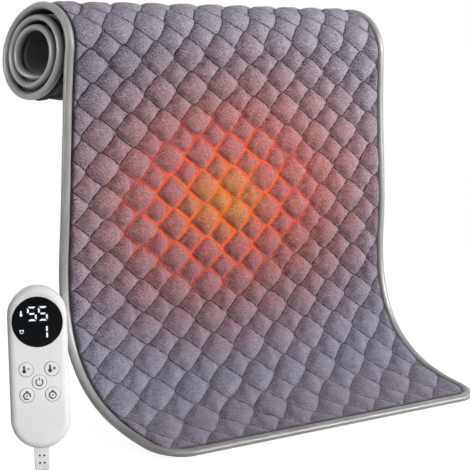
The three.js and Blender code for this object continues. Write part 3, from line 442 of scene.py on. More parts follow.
def cut(piece, cutters, sharp_angle=35):
    """Takes the cutters, given as (points, faces), out of a piece."""
    tools = []
    for verts, faces in cutters:
        tool = make_piece("cutter", verts, faces)
        tools.append(tool)
        modifier = piece.modifiers.new("cut", "BOOLEAN")
        modifier.object = tool
        modifier.solver = "EXACT"
    view = bpy.context.evaluated_depsgraph_get()
    result = bpy.data.meshes.new_from_object(piece.evaluated_get(view))
    piece.modifiers.clear()
    piece.data = result
    for tool in tools:
        bpy.data.objects.remove(tool)
    finish_mesh(result, sharp_angle)
    return piece


def dress(piece, slot, body=ROOT, replaced=(), material=None):
    """Gives a piece its slot's material or another, and the body that it rides on, and hides the solids that
    it replaces.
    """
    piece.data.materials.clear()
    piece.data.materials.append(MATERIALS[material or slot])
    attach(piece, body)
    if replaced:
        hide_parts(*replaced)
    return piece


# Materials

class Shader:
    """The node tree of one material, or of a world, with the shader at its end."""

    def __init__(self, name, holder=None):
        self.material = holder or bpy.data.materials.new(name)
        self.material.use_nodes = True
        self.tree = self.material.node_tree
        self.end = self.tree.nodes["Background" if holder else "Principled BSDF"]

    def feed(self, socket, value):
        if isinstance(value, bpy.types.NodeSocket):
            self.tree.links.new(value, socket)
        else:
            socket.default_value = value

    def node(self, kind, inputs=None, **settings):
        node = self.tree.nodes.new(kind)
        for key, value in settings.items():
            setattr(node, key, value)
        for key, value in (inputs or {}).items():
            self.feed(node.inputs[key], value)
        return node

    def surface(self, **values):
        for key, value in values.items():
            self.feed(self.end.inputs[key.replace("_", " ").title().replace("Ior", "IOR")], value)

    def math(self, operation, first, second=0.0):
        return self.node("ShaderNodeMath", {0: first, 1: second}, operation=operation).outputs[0]

    def times(self, first, second):
        return self.math("MULTIPLY", first, second)

    def plus(self, first, second):
        return self.math("ADD", first, second)

    def minus(self, first, second):
        return self.math("SUBTRACT", first, second)

    def vector(self, operation, first, second=(0, 0, 0)):
        node = self.node("ShaderNodeVectorMath", {0: first, 1: second}, operation=operation)
        return node.outputs["Value" if operation in ("LENGTH", "DOT_PRODUCT") else "Vector"]

    def split(self, vector):
        return self.node("ShaderNodeSeparateXYZ", {0: vector}).outputs

    def stretched(self, vector, scale):
        return self.node("ShaderNodeMapping", {"Vector": vector, "Scale": scale}).outputs[0]

    def uv(self, name):
        return self.node("ShaderNodeUVMap", uv_map=name).outputs["UV"]

    def place(self):
        """Object coordinates, which are metres in the part's frame."""
        return self.node("ShaderNodeTexCoord").outputs["Object"]

    def noise(self, vector, scale, detail=2.0, roughness=0.5):
        inputs = {"Vector": vector, "Scale": scale, "Detail": detail, "Roughness": roughness}
        return self.node("ShaderNodeTexNoise", inputs).outputs["Fac"]

    def between(self, value, low, high, to_low=0.0, to_high=1.0):
        """Maps a value smoothly from one range onto another."""
        inputs = {"Value": value, "From Min": low, "From Max": high, "To Min": to_low, "To Max": to_high}
        return self.node("ShaderNodeMapRange", inputs, interpolation_type="SMOOTHSTEP").outputs["Result"]

    def fade(self, value, near, far, share=1.0):
        """A share that holds up to near and is gone at far."""
        return self.between(value, near, far, share, 0.0)

    def mix(self, share, first, second, blend="MIX"):
        node = self.node("ShaderNodeMix", data_type="RGBA", blend_type=blend)
        self.feed(node.inputs[0], share)
        self.feed(node.inputs[6], first)
        self.feed(node.inputs[7], second)
        return node.outputs[2]

    def seen(self, unseen_value, seen_value):
        """One value where the camera, a reflection or a see-through piece looks, another for plain light."""
        path = self.node("ShaderNodeLightPath").outputs
        looks = self.math("MAXIMUM", path["Is Camera Ray"], path["Is Glossy Ray"])
        looks = self.math("MAXIMUM", looks, path["Is Transmission Ray"])
        inputs = {"Value": looks, "To Min": unseen_value, "To Max": seen_value}
        return self.node("ShaderNodeMapRange", inputs).outputs["Result"]

    def bump(self, height, distance, strength=1.0):
        inputs = {"Height": height, "Distance": distance, "Strength": strength}
        self.feed(self.end.inputs["Normal"], self.node("ShaderNodeBump", inputs).outputs["Normal"])


def rgb(red, green, blue):
    return (red, green, blue, 1.0)


def plush_material():
    """Short velvet pile: fine nap and ribs that gather at the seams, with painted shade in the seams, where
    the cover tucks under the binding, on one side of each tuft and over the lower sheet, and a painted glow
    along the seams with a warm tint round it.
    """
    shader = Shader("plush_velvet")
    flat, lattice = shader.uv("flat"), shader.uv("lattice")
    place, cell = shader.split(flat), shader.split(lattice)
    waves = [shader.math("COSINE", shader.times(cell[i], math.pi)) for i in (0, 1)]
    across, along = (shader.math("ABSOLUTE", wave) for wave in waves)
    clean_seam = shader.math("MINIMUM", across, along)
    nearest_a = shader.math("LESS_THAN", across, along)
    on_other = shader.times(shader.minus(1.0, nearest_a), cell[0])
    on_seam = shader.plus(shader.times(nearest_a, cell[1]), on_other)
    combed = shader.noise(shader.stretched(lattice, NAP_STROKES), 1.0, 2.0, 0.6)
    nap = shader.mix(0.4, shader.noise(flat, 9.5, 2.0, 0.6), combed)
    mottle = shader.noise(flat, 0.9, 2.0)
    wander = shader.times(shader.noise(flat, 1.1), 14.0)
    ribs = shader.math("SINE", shader.plus(shader.times(on_seam, 2 * math.pi * RIBS_PER_TUFT), wander))
    ribbed = shader.times(ribs, shader.between(clean_seam, 0.1, 0.85, 1.0, 0.15))
    shader.bump(shader.plus(shader.times(nap, 1.8), shader.times(ribbed, 0.34)), 0.0008, 0.9)

    ragged = shader.plus(shader.times(ribs, 0.025), shader.times(nap, 0.22))
    seam = shader.minus(shader.plus(clean_seam, ragged), 0.11)
    # Painted light and shade: across each tuft the pile is made darker at one end and lighter at the other,
    # as light from one side would show.
    painted_side_shade = shader.minus(cell[0], shader.math("ROUND", cell[0]))
    tone = shader.plus(shader.plus(nap, shader.times(ribbed, 0.07)), shader.times(painted_side_shade, 0.2))
    pile = shader.mix(shader.between(tone, 0.3, 0.7), rgb(0.085, 0.077, 0.098), rgb(0.485, 0.45, 0.535))
    pile = shader.mix(shader.fade(place[1], 8.0, 24.0, 0.42), pile, rgb(0.262, 0.243, 0.292))
    pile = shader.mix(shader.between(mottle, 0.35, 0.7, 0.0, 0.25), pile, rgb(0.12, 0.108, 0.138))

    # Painted glow: a red tint spreads over the pile round the glow's centre, with an orange-yellow core, and
    # the nap's strokes grow stronger there.
    apart = shader.vector("MULTIPLY", shader.vector("SUBTRACT", flat, glow_centre()), GLOW_FLATNESS)
    reach = shader.vector("LENGTH", apart)
    glow_tint_reach = shader.vector("LENGTH", shader.vector("SUBTRACT", apart, GLOW_TINT_SHIFT))
    pile = shader.mix(shader.fade(glow_tint_reach, 2.5, 17.0, 0.75), pile, rgb(0.52, 0.108, 0.07))
    pile = shader.mix(shader.fade(reach, 0.5, 4.4, 0.58), pile, rgb(0.68, 0.29, 0.035))
    strength = shader.between(glow_tint_reach, 4.0, 12.0, 0.34, 0.1)
    strokes = shader.times(shader.between(nap, 0.36, 0.64, -1.0, 1.0), strength)
    pile = shader.mix(1.0, pile, shader.plus(strokes, 1.0), "MULTIPLY")

    # Painted shade: the pile darker and cooler over the lower sheet, fully from 10 to 15 cm above the hem,
    # three quarters at the hem and gone by 31 cm.
    shaded = shader.times(shader.fade(place[1], 15.0, 31.0), shader.between(place[1], 2.0, 10.0, 0.75, 1.0))
    pile = shader.mix(shaded, pile, shader.mix(1.0, pile, rgb(0.775, 0.795, 0.835), "MULTIPLY"))
    # Painted shade in the seam creases: the pile goes nearly black along the seams, less so near the hem.
    painted_seam_shade = shader.times(shader.fade(seam, 0.02, 0.15, 0.96), shader.between(place[1], 2.0, 20.0, 0.6, 1.0))
    pile = shader.mix(painted_seam_shade, pile, rgb(0.016, 0.008, 0.01))
    # Painted shade where the cover tucks under the binding: the pile goes nearly black within a few
    # millimetres of its edge.
    from_side = shader.minus((EDGE_X - COVER_INSET) * CM_PER_MM, shader.math("ABSOLUTE", place[0]))
    from_edge = shader.math("MINIMUM", from_side, shader.minus(place[1], COVER_INSET * CM_PER_MM))
    pile = shader.mix(shader.fade(from_edge, 0.05, 0.42, 0.85), pile, rgb(0.03, 0.026, 0.032))

    # Painted glow: the seams near the glow's centre emit orange to red light, over a base darkened to deep
    # red.
    lit = shader.times(shader.fade(seam, 0.08, 0.24), shader.fade(reach, 4.0, 9.5, 0.9))
    lit = shader.times(lit, shader.between(mottle, 0.3, 0.6, 0.6, 1.0))
    pile = shader.mix(lit, pile, rgb(0.3, 0.02, 0.0))
    glow_colour = shader.mix(shader.between(reach, 2.0, 8.0), rgb(1.0, 0.13, 0.004), rgb(1.0, 0.065, 0.004))
    shader.surface(base_color=pile, roughness=0.95, emission_color=glow_colour, emission_strength=lit)
    shader.surface(sheen_weight=0.28, sheen_roughness=0.3, sheen_tint=rgb(0.9, 0.86, 0.92))
    shader.surface(specular_ior_level=0.1)
    return shader.material


def cloth_material(name, dark, light, threads_per_cm, depth):
    """Woven cloth: two crossing sets of threads on the flat UV map."""
    shader = Shader(name)
    flat = shader.uv("flat")
    split = shader.split(flat)
    turns = 2 * math.pi * threads_per_cm
    warp, weft = (shader.math("SINE", shader.times(split[i], turns)) for i in (0, 1))
    weave = shader.times(warp, weft)
    colour = shader.mix(shader.between(weave, -1.0, 1.0), dark, light)
    colour = shader.mix(shader.between(shader.noise(flat, 0.6, 4.0), 0.4, 0.75, 0.0, 0.4), colour, dark)
    shader.bump(weave, depth, 0.6)
    shader.surface(base_color=colour, roughness=0.85, sheen_weight=0.2, sheen_roughness=0.5)
    return shader.material


def satin_material():
    """Smooth satin tape: fine threads across it and soft streaks along it."""
    shader = Shader("binding_satin")
    flat = shader.uv("flat")
    threads = shader.math("SINE", shader.times(shader.split(flat)[0], 2 * math.pi * 14))
    streaks = shader.noise(shader.stretched(flat, (0.35, 6.0, 1.0)), 1.0, 3.0)
    creases = shader.noise(flat, 0.55, 3.0)
    colour = shader.mix(shader.between(streaks, 0.3, 0.7), rgb(0.16, 0.156, 0.151), rgb(0.245, 0.239, 0.232))
    shader.bump(shader.plus(shader.times(threads, 0.02), shader.times(creases, 0.5)), 0.0007, 0.5)
    shader.surface(base_color=colour, roughness=0.42, specular_ior_level=1.0)
    shader.surface(sheen_weight=0.15, sheen_roughness=0.35)
    return shader.material


def moulded_material(name, colour, roughness, grain=2500.0, depth=0.00002, tone=0.05, shine=0.5):
    """Moulded plastic: a fine spark texture, slight unevenness of tone and handled patches."""
    shader = Shader(name)
    place = shader.place()
    patches = shader.noise(place, 35.0, 3.0)
    darker = tuple(channel * (1 - tone) for channel in colour[:3]) + (1.0,)
    base = shader.mix(shader.between(patches, 0.35, 0.7), colour, darker)
    shader.bump(shader.noise(place, grain, 1.0), depth, 0.5)
    uneven = shader.between(patches, 0.3, 0.7, roughness * 0.9, roughness * 1.1)
    shader.surface(base_color=base, roughness=uneven, specular_ior_level=shine)
    return shader.material


def steel_material():
    shader = Shader("plain_steel")
    brushing = shader.noise(shader.stretched(shader.place(), (400.0, 400.0, 4000.0)), 1.0, 3.0)
    base = shader.mix(brushing, rgb(0.5, 0.5, 0.52), rgb(0.66, 0.66, 0.67))
    shader.bump(brushing, 0.00001, 0.4)
    shader.surface(base_color=base, metallic=1.0, roughness=shader.between(brushing, 0.2, 0.8, 0.24, 0.4))
    return shader.material


def lens_material():
    shader = Shader("display_glass")
    smear = shader.noise(shader.place(), 60.0, 3.0)
    depths = shader.mix(shader.between(smear, 0.3, 0.7), rgb(0.002, 0.002, 0.003), rgb(0.004, 0.005, 0.006))
    gloss = shader.between(smear, 0.3, 0.7, 0.09, 0.16)
    shader.surface(base_color=depths, roughness=gloss, specular_ior_level=0.05)
    return shader.material


def lit_material():
    """Lit display segments, a little uneven as real ones are."""
    shader = Shader("display_light")
    uneven = shader.noise(shader.place(), 700.0, 1.0)
    colour = shader.mix(shader.between(uneven, 0.3, 0.7), rgb(0.72, 0.8, 1.0), rgb(0.92, 0.95, 1.0))
    shader.surface(base_color=rgb(0.3, 0.3, 0.32), roughness=0.5)
    shader.surface(emission_color=colour, emission_strength=0.78)
    return shader.material


MATERIALS = {}


def make_materials():
    white = rgb(0.78, 0.78, 0.777)
    MATERIALS.update(
        plush=plush_material(),
        back_cloth=cloth_material("back_weave", rgb(0.03, 0.025, 0.024), rgb(0.075, 0.066, 0.063), 9, 0.0003),
        binding=satin_material(),
        tie=cloth_material("strap_weave", rgb(0.015, 0.015, 0.017), rgb(0.05, 0.05, 0.055), 8, 0.0004),
        felt=moulded_material("felt", rgb(0.6, 0.56, 0.5), 0.95, 900.0, 0.0004, 0.2),
        wire=moulded_material("wire_silicone", rgb(0.43, 0.06, 0.02), 0.5),
        case=moulded_material("case_plastic", white, 0.42, shine=0.08),
        button=moulded_material("button_plastic", white, 0.45, shine=0.08),
        lens=lens_material(),
        light=lit_material(),
        relief=moulded_material("relief_rubber", rgb(0.78, 0.78, 0.775), 0.6, 1800.0, 0.00004, shine=0.25),
        dark_plastic=moulded_material("dark_plastic", rgb(0.02, 0.02, 0.023), 0.5),
        print=moulded_material("icon_print", rgb(0.02, 0.02, 0.023), 0.6),
        board=moulded_material("board_mask", rgb(0.014, 0.1, 0.042), 0.4),
        fuse=moulded_material("fuse_ceramic", rgb(0.5, 0.5, 0.5), 0.3),
        steel=steel_material(),
        cord=moulded_material("cord_jacket", rgb(0.76, 0.76, 0.75), 0.5, 1500.0, 0.00004),
        plug=moulded_material("plug_plastic", rgb(0.76, 0.76, 0.75), 0.45),
    )


# Pad profile

def bezier(points, count):
    t = np.linspace(0, 1, count)[:, None]
    a, b, c, d = (np.array(p, dtype=float) for p in points)
    return a * (1 - t) ** 3 + 3 * b * t * (1 - t) ** 2 + 3 * c * t ** 2 * (1 - t) + d * t ** 3


def spiral_points(count):
    turn = np.linspace(0, ROLL_TURNS, count)
    angle = 2 * math.pi * turn
    looseness = (1 - turn / ROLL_LIMIT_TURNS) ** ROLL_TIGHTENING
    depth = ROLL_INNER_DEPTH + (ROLL_OUTER_DEPTH - ROLL_INNER_DEPTH) * looseness
    height = ROLL_INNER_HEIGHT + (ROLL_OUTER_HEIGHT - ROLL_INNER_HEIGHT) * looseness
    settling = np.exp(-ROLL_SETTLING * turn)
    flatness = ROLL_FLATNESS * settling * (1 - np.cos(angle)) / 2
    lean = ROLL_LEAN * settling * np.sin(angle)
    return np.stack([-depth * np.cos(angle) - flatness - lean, height * np.sin(angle)], axis=1)


class Profile:
    """The line in (y, z) that the pad follows, measured along from its front hem."""

    def __init__(self):
        unit = lambda v: np.array(v, dtype=float) / np.linalg.norm(v)
        spiral = spiral_points(3 * PROFILE_SAMPLES)
        hem, belly, start = np.array(HEM, dtype=float), np.array(BELLY, dtype=float), spiral[0]
        rise, leave = unit(BELLY_TANGENT), unit(spiral[1] - spiral[0])
        sweep = bezier(
            (hem, hem + HEM_HANDLE * unit(HEM_TANGENT), belly - SWEEP_HANDLE * rise, belly), PROFILE_SAMPLES
        )
        leaving = start - ROLL_HANDLE * leave
        hang = bezier((belly, belly + HANG_HANDLE * rise, leaving, start), PROFILE_SAMPLES)
        self.points = np.concatenate([sweep[:-1], hang[:-1], spiral])
        steps = np.linalg.norm(np.diff(self.points, axis=0), axis=1)
        self.along = np.concatenate([[0], np.cumsum(steps)])
        tangents = np.gradient(self.points, self.along, axis=0)
        tangents /= np.linalg.norm(tangents, axis=1)[:, None]
        self.hem_tangent = tangents[0]
        self.normals = np.stack([-tangents[:, 1], tangents[:, 0]], axis=1)
        self.hung = self.along[len(sweep) + len(hang) - 2]
        self.length = self.along[-1] - BINDING_WIDTH
        quilted = len(spiral) * QUILTED_TURNS / ROLL_TURNS
        self.quilted = self.along[len(sweep) + len(hang) - 2 + int(quilted)]
        past = np.minimum(self.along - self.hung, 0)
        eased = ROLL_LEAN / math.hypot(ROLL_LEAN, ROLL_OUTER_HEIGHT) * past * np.exp(past / LEAN_EASING)
        turn = np.linspace(0, ROLL_TURNS, len(spiral))
        eased[-len(spiral):] = ROLL_LEAN * np.exp(-ROLL_SETTLING * turn) * np.sin(2 * math.pi * turn)
        self.lean = eased

    def at(self, x, along, height):
        """Points of the sheet: x across it, the distance along from the hem, and the height over it."""
        past_hem = np.minimum(along, 0)
        across = [
            np.interp(along, self.along, self.points[:, i]) + past_hem * self.hem_tangent[i] for i in (0, 1)
        ]
        normal = [np.interp(along, self.along, self.normals[:, i]) for i in (0, 1)]
        depth = across[0] + normal[0] * height + self.skew(x, along)
        return np.stack([x, depth, across[1] + normal[1] * height], axis=-1)

    def skew(self, x, along):
        """How far back the sheet's right side stands at the roll and at the hem."""
        share = (x + EDGE_X) / (2 * EDGE_X)
        hem = HEM_SKEW * (1 - smoothstep(along / HEM_SKEW_LENGTH))
        roll = ROLL_SKEW * smoothstep((along - self.hung) / ROLL_SKEW_LENGTH + 1)
        lean = LEAN_FADING * np.interp(along, self.along, self.lean)
        return share * (hem + roll + lean) - ROLL_SKEW / 2

    def along_at_height(self, z):
        """The distance along at which the hanging sheet is at height z."""
        sheet = self.along <= self.hung
        return float(np.interp(z, self.points[sheet, 1], self.along[sheet]))


profile = Profile()


def glow_centre():
    return (GLOW_X * CM_PER_MM, profile.along_at_height(GLOW_Z) * CM_PER_MM, 0)


def smoothstep(value):
    value = np.clip(value, 0, 1)
    return value * value * (3 - 2 * value)


def clamp_to_outline(x, along, inset):
    """Draws points outside the pad's rounded outline in to it; also says which were inside."""
    half, corner = EDGE_X - inset, CORNER_RADIUS - inset
    start, end = inset, profile.length - inset
    middle = (start + end) / 2
    reach = (end - start) / 2
    inside = (np.abs(x) <= half) & (np.abs(along - middle) <= reach)
    x = np.clip(x, -half, half)
    along = np.clip(along, start, end)
    over_x = np.abs(x) - (half - corner)
    over_along = np.abs(along - middle) - (reach - corner)
    distance = np.hypot(np.maximum(over_x, 0), np.maximum(over_along, 0))
    outside = (over_x > 0) & (over_along > 0) & (distance > corner)
    share = np.where(outside, corner / np.maximum(distance, corner), 1)
    x = np.where(outside, np.sign(x) * (half - corner + over_x * share), x)
    along = np.where(outside, middle + np.sign(along - middle) * (reach - corner + over_along * share), along)
    return x, along, inside & ~outside


def edge_distance(x, along, inset):
    """How far points inside the pad's outline are from it."""
    half, corner = EDGE_X - inset, CORNER_RADIUS - inset
    start, end = inset, profile.length - inset
    over_x = half - np.abs(x)
    over_along = np.minimum(along - start, end - along)
    rounded = corner - np.hypot(np.maximum(corner - over_x, 0), np.maximum(corner - over_along, 0))
    return np.where((over_x < corner) & (over_along < corner), rounded, np.minimum(over_x, over_along))


# Quilted cover

def lattice_to_flat(a, b):
    """Flat place on the pad of a point of the seam lattice, whose cells are unit squares."""
    column, row = (a + b) / 2, (a - b) / 2
    bent = np.clip(row, *BENT_ROWS)
    low = np.maximum(bent, 0)
    x = TUFT_X + column * (COLUMN_STEP[0] + COLUMN_WIDENING * low ** 2)
    x = x + row * ROW_STEP[0] + ROW_BEND[0] * bent ** 2 + ROW_BEND[1] * bent ** 3
    down = column * (COLUMN_STEP[1] + COLUMN_LEVELLING * low) + row * ROW_STEP[1]
    longer = ROW_LENGTHENING * np.clip(row - LONG_ROWS_FROM, 0, LONG_ROWS) ** 2
    return x - LONG_ROW_SHIFT * longer, TUFT_ALONG - down - longer


def flat_to_lattice(x, along):
    """The point of the seam lattice at a flat place, found by repeated straight steps."""
    column_step, row_step = np.array(COLUMN_STEP), np.array(ROW_STEP)
    back = np.linalg.inv(np.stack([(column_step + row_step) / 2, (column_step - row_step) / 2], axis=1))
    a, b = np.zeros(np.shape(x)), np.zeros(np.shape(x))
    for _ in range(LATTICE_ROUNDS):
        near_x, near_along = lattice_to_flat(a, b)
        a, b = (
            v + back[k, 0] * (x - near_x) + back[k, 1] * (near_along - along) for k, v in enumerate((a, b))
        )
    return a, b


def bulged(a, b):
    """Bows the seams outward round each large tuft and inward round each small one."""
    square = lambda wave: np.sign(wave) * np.abs(wave) ** BULGE_SQUARENESS
    wave_a, wave_b = (np.sin(math.pi * v) * LARGE_TUFT_BULGE for v in (a, b))
    return a + wave_a * square(np.cos(math.pi * b)), b + wave_b * square(np.cos(math.pi * a))


def is_large(cell_a, cell_b):
    return (cell_a + cell_b) % 2 == 0


def grid_quads(shape):
    """The quads of a grid of points, as places in the flattened grid."""
    index = np.arange(shape[0] * shape[1]).reshape(shape)
    return np.stack([index[:-1, :-1], index[1:, :-1], index[1:, 1:], index[:-1, 1:]], axis=-1).reshape(-1, 4)


def sewn_patch():
    """A patch of the cover, hardly raised yet, with groups for its sewn points and its tufts' pressure."""
    ticks = np.arange(PATCH_CELLS * CELL_STEPS + 1)
    step_a, step_b = np.meshgrid(ticks, ticks, indexing="ij")
    a, b = step_a / CELL_STEPS - 0.5, step_b / CELL_STEPS - 0.5
    x, along = lattice_to_flat(*bulged(a, b))
    crown = np.abs(np.cos(math.pi * a) * np.cos(math.pi * b))
    sewn = (step_a % CELL_STEPS == 0) | (step_b % CELL_STEPS == 0)
    uneven = np.random.default_rng(PATCH_SEED).uniform(-START_UNEVENNESS, START_UNEVENNESS, a.shape)
    flat = np.stack([x - x.mean(), along - along.mean(), np.zeros_like(x)], axis=-1)
    start = flat + np.where(sewn, 0, START_RISE * crown + uneven)[..., None] * (0, 0, 1)
    mesh = bpy.data.meshes.new("patch")
    mesh.from_pydata((start * MM * PATCH_SCALE).reshape(-1, 3).tolist(), [], grid_quads(a.shape).tolist())
    patch = add_object("patch", mesh)
    large = is_large(np.round(a), np.round(b))
    groups = (("sewn", sewn, 1), ("puff", ~large, 1), ("puff", large, LARGE_TUFT_PRESSURE))
    for name, chosen, weight in groups:
        group = patch.vertex_groups.get(name) or patch.vertex_groups.new(name=name)
        group.add(np.flatnonzero(chosen).tolist(), weight, "REPLACE")
    return patch, flat


def puffed_tufts():
    """Puffs up the patch and gives the offsets of each tuft's points, large and small tufts apart."""
    patch, flat = sewn_patch()
    puff_by_cloth(patch)
    view = bpy.context.evaluated_depsgraph_get()
    result = bpy.data.meshes.new_from_object(patch.evaluated_get(view))
    places = np.empty(flat.size)
    result.vertices.foreach_get("co", places)
    bpy.data.objects.remove(patch)
    offsets = places.reshape(flat.shape) / (MM * PATCH_SCALE) - flat
    tufts = {True: [], False: []}
    for i in range(PATCH_CELLS):
        for j in range(PATCH_CELLS):
            rows, columns = (slice(k * CELL_STEPS, (k + 1) * CELL_STEPS) for k in (i, j))
            tufts[is_large(i, j)].append(offsets[rows, columns])
    return filled(tufts[True], LARGE_TUFT_RISE), filled(tufts[False], SMALL_TUFT_RISE)


def filled(tufts, rise):
    """Tufts of one size with wadding in them, which lifts their flanks and flattens their tops."""
    tufts = np.array(tufts)
    height = np.maximum(tufts[..., 2], 0)
    tufts[..., 2] = rise * (height / height.max()) ** TUFT_FILL
    return tufts


def puff_by_cloth(patch):
    """Blows the patch up between its sewn points, without gravity."""
    cloth = patch.modifiers.new("puff", "CLOTH")
    settings = cloth.settings
    settings.quality = 6
    settings.mass = 0.15
    settings.air_damping = 2
    settings.tension_stiffness = settings.compression_stiffness = 12
    settings.shear_stiffness = 4
    settings.bending_stiffness = 0.02
    settings.tension_damping = settings.compression_damping = settings.shear_damping = 8
    settings.vertex_group_mass = "sewn"
    settings.shrink_min = settings.shrink_max = -PATCH_SLACK
    settings.use_pressure = True
    settings.uniform_pressure_force = PATCH_PRESSURE
    settings.vertex_group_pressure = "puff"
    settings.effector_weights.gravity = 0
    cloth.collision_settings.use_collision = False
    for number in range(1, PATCH_FRAMES + 1):
        bpy.context.scene.frame_set(number)


def tuft_offsets(step_a, step_b):
    """Offsets across, along and up for points of the seam lattice, with a tuft picked for each cell."""
    large_tufts, small_tufts = puffed_tufts()
    half = CELL_STEPS // 2
    cell_a, cell_b = ((step + half) // CELL_STEPS for step in (step_a, step_b))
    in_a, in_b = ((step + half) % CELL_STEPS for step in (step_a, step_b))
    from_a, from_b = cell_a - cell_a.min(), cell_b - cell_b.min()
    size = (from_a.max() + 1, from_b.max() + 1)
    pick = np.random.default_rng(PATCH_SEED).integers(len(large_tufts), size=size)[from_a, from_b]
    large = is_large(cell_a, cell_b)[..., None]
    return np.where(large, large_tufts[pick, in_a, in_b], small_tufts[pick, in_a, in_b])


def rolled_share(along):
    """0 on the sheet and the outer turn, 1 on the tighter turns inside."""
    return smoothstep((along - profile.quilted + ROLLING_IN) / ROLLING_IN)


def tuft_share(along):
    """How far tufts puff up: fully on the sheet, less by the hem and on the roll, and little inside it."""
    share = HEM_TUFTS + (1 - HEM_TUFTS) * smoothstep(along / HEM_TUFTS_LENGTH)
    share = share - (1 - OUTER_TURN_TUFTS) * smoothstep((along - profile.hung) / ROLLING_IN)
    return share + (ROLLED_TUFTS - share) * rolled_share(along)


def quilted_cover():
    """The quilted face as one closed layer whose grid follows the seams."""
    spread = np.meshgrid(np.linspace(-PAD_WIDTH / 2, PAD_WIDTH / 2, 40), np.linspace(0, profile.length, 80))
    ticks = [
        np.arange(math.floor(c.min() - 1) * CELL_STEPS, math.ceil(c.max() + 1) * CELL_STEPS + 1)
        for c in flat_to_lattice(*spread)
    ]
    step_a, step_b = np.meshgrid(*ticks, indexing="ij")
    a, b = step_a / CELL_STEPS, step_b / CELL_STEPS
    x, along = lattice_to_flat(*bulged(a, b))
    x, along, inside = clamp_to_outline(x, along, COVER_INSET)
    tuck = smoothstep(edge_distance(x, along, COVER_INSET) / EDGE_TUCK)
    offset = tuft_offsets(step_a, step_b) * (tuck * tuft_share(along))[..., None]
    top = profile.at(x + offset[..., 0], along + offset[..., 1], SEAM_HEIGHT + offset[..., 2])
    bottom = profile.at(x, along, np.full_like(x, COVER_BOTTOM))

    quads = np.roll(grid_quads(a.shape)[:, ::-1], 1, axis=1)
    quads = quads[inside.ravel()[quads].any(axis=1)]
    used, places = np.unique(quads, return_inverse=True)
    upper, lower = (layer.reshape(-1, 3)[used] for layer in (top, bottom))
    picked = lambda *values: np.stack([value.ravel()[used] for value in values], axis=1)
    maps = {"flat": picked(x, along) * CM_PER_MM, "lattice": picked(a, b)}
    return closed_layer("quilted_cover_cloth", upper, lower, places.reshape(-1, 4), maps)


def boundary_edges(quads):
    """Edges of a quad grid that belong to one quad only, in that quad's direction."""
    edges = np.concatenate([quads[:, [i, (i + 1) % 4]] for i in range(4)])
    keys = np.sort(edges, axis=1)
    _, first, counts = np.unique(keys, axis=0, return_index=True, return_counts=True)
    return edges[first[counts == 1]]


def closed_layer(name, upper, lower, quads, maps):
    """A smooth closed layer between two grids of points, with UV maps given for the points of either."""
    count = len(upper)
    rim = boundary_edges(quads)
    walls = np.stack([rim[:, 1], rim[:, 0], rim[:, 0] + count, rim[:, 1] + count], axis=1)
    faces = np.concatenate([quads, quads[:, ::-1] + count, walls])
    mesh = bpy.data.meshes.new(name)
    mesh.from_pydata((np.concatenate([upper, lower]) * MM).tolist(), [], faces.tolist())
    piece = add_object(name, mesh)
    mesh.polygons.foreach_set("use_smooth", np.ones(len(mesh.polygons), dtype=bool))
    loops = np.empty(len(mesh.loops), dtype=np.int32)
    mesh.loops.foreach_get("vertex_index", loops)
    for key, values in maps.items():
        set_uv(piece, key, values[loops % count])
    mesh.update()
    return piece


# Back cover

BACK_STEP = 4.5
BACK_SEAM_SINK = 0.5


def back_cover():
    """The plain cloth behind the pad, drawn in a little where the quilting seams come through."""
    columns = np.linspace(-1, 1, int(PAD_WIDTH / BACK_STEP) + 1)
    start, end = COVER_INSET, profile.length - COVER_INSET
    rows = np.linspace(start, end, int((end - start) / BACK_STEP) + 1)
    half, corner = EDGE_X - COVER_INSET, CORNER_RADIUS - COVER_INSET
    from_end = np.minimum(np.minimum(rows - start, end - rows), corner)
    half_width = half - corner + np.sqrt(np.maximum(corner ** 2 - (corner - from_end) ** 2, 0))
    x = columns[None, :] * half_width[:, None]
    along = np.repeat(rows[:, None], len(columns), axis=1)
    a, b = flat_to_lattice(x, along)
    puff = np.abs(np.cos(math.pi * a) * np.cos(math.pi * b)) ** 0.5
    tuck = smoothstep(edge_distance(x, along, COVER_INSET) / EDGE_TUCK)
    sink = BACK_SEAM_SINK * (1 - puff * tuck * (1 - rolled_share(along)))
    low = profile.at(x, along, BACK_BOTTOM + sink)
    high = profile.at(x, along, np.full_like(x, BACK_TOP))
    layers = [layer.reshape(-1, 3) for layer in (low, high)]
    flat = np.stack([x.ravel(), along.ravel()], axis=1) * CM_PER_MM
    return closed_layer("back_cover_cloth", *layers, grid_quads(x.shape), {"flat": flat})


# Edge binding

BINDING_STEP = 3.0
BINDING_END_STEPS = 40
BINDING_HEM_STEPS = 90
BINDING_SIDES = 20
BINDING_CORNER_STEPS = 14
BINDING_FULLNESS = 1.18
BINDING_SQUARENESS = 0.95
SOCKET_HALF = 15.3


def binding_route():
    """The binding's way round the pad, from one side of the socket to the other, with outward directions."""
    length, centre = profile.length, EDGE_X - CORNER_RADIUS
    straight = np.arange(CORNER_RADIUS, length - CORNER_RADIUS, BINDING_STEP)[1:]
    ends = np.linspace(SOCKET_HALF, centre, BINDING_END_STEPS)
    hem = np.linspace(centre, -centre, BINDING_HEM_STEPS)[1:-1]

    def turn(x, along, start):
        angles = start - np.linspace(0, math.pi / 2, BINDING_CORNER_STEPS)
        return [
            (x + CORNER_RADIUS * math.cos(t), along + CORNER_RADIUS * math.sin(t), math.cos(t), math.sin(t))
            for t in angles
        ]

    route = [(x, length, 0, 1) for x in ends[:-1]]
    route += turn(centre, length - CORNER_RADIUS, math.pi / 2)
    route += [(EDGE_X, s, 1, 0) for s in straight[::-1]]
    route += turn(centre, CORNER_RADIUS, 0)
    route += [(x, 0, 0, -1) for x in hem]
    route += turn(-centre, CORNER_RADIUS, -math.pi / 2)
    route += [(-EDGE_X, s, -1, 0) for s in straight]
    route += turn(-centre, length - CORNER_RADIUS, math.pi)
    route += [(-x, length, 0, 1) for x in ends[:-1][::-1]]
    return np.array(route)


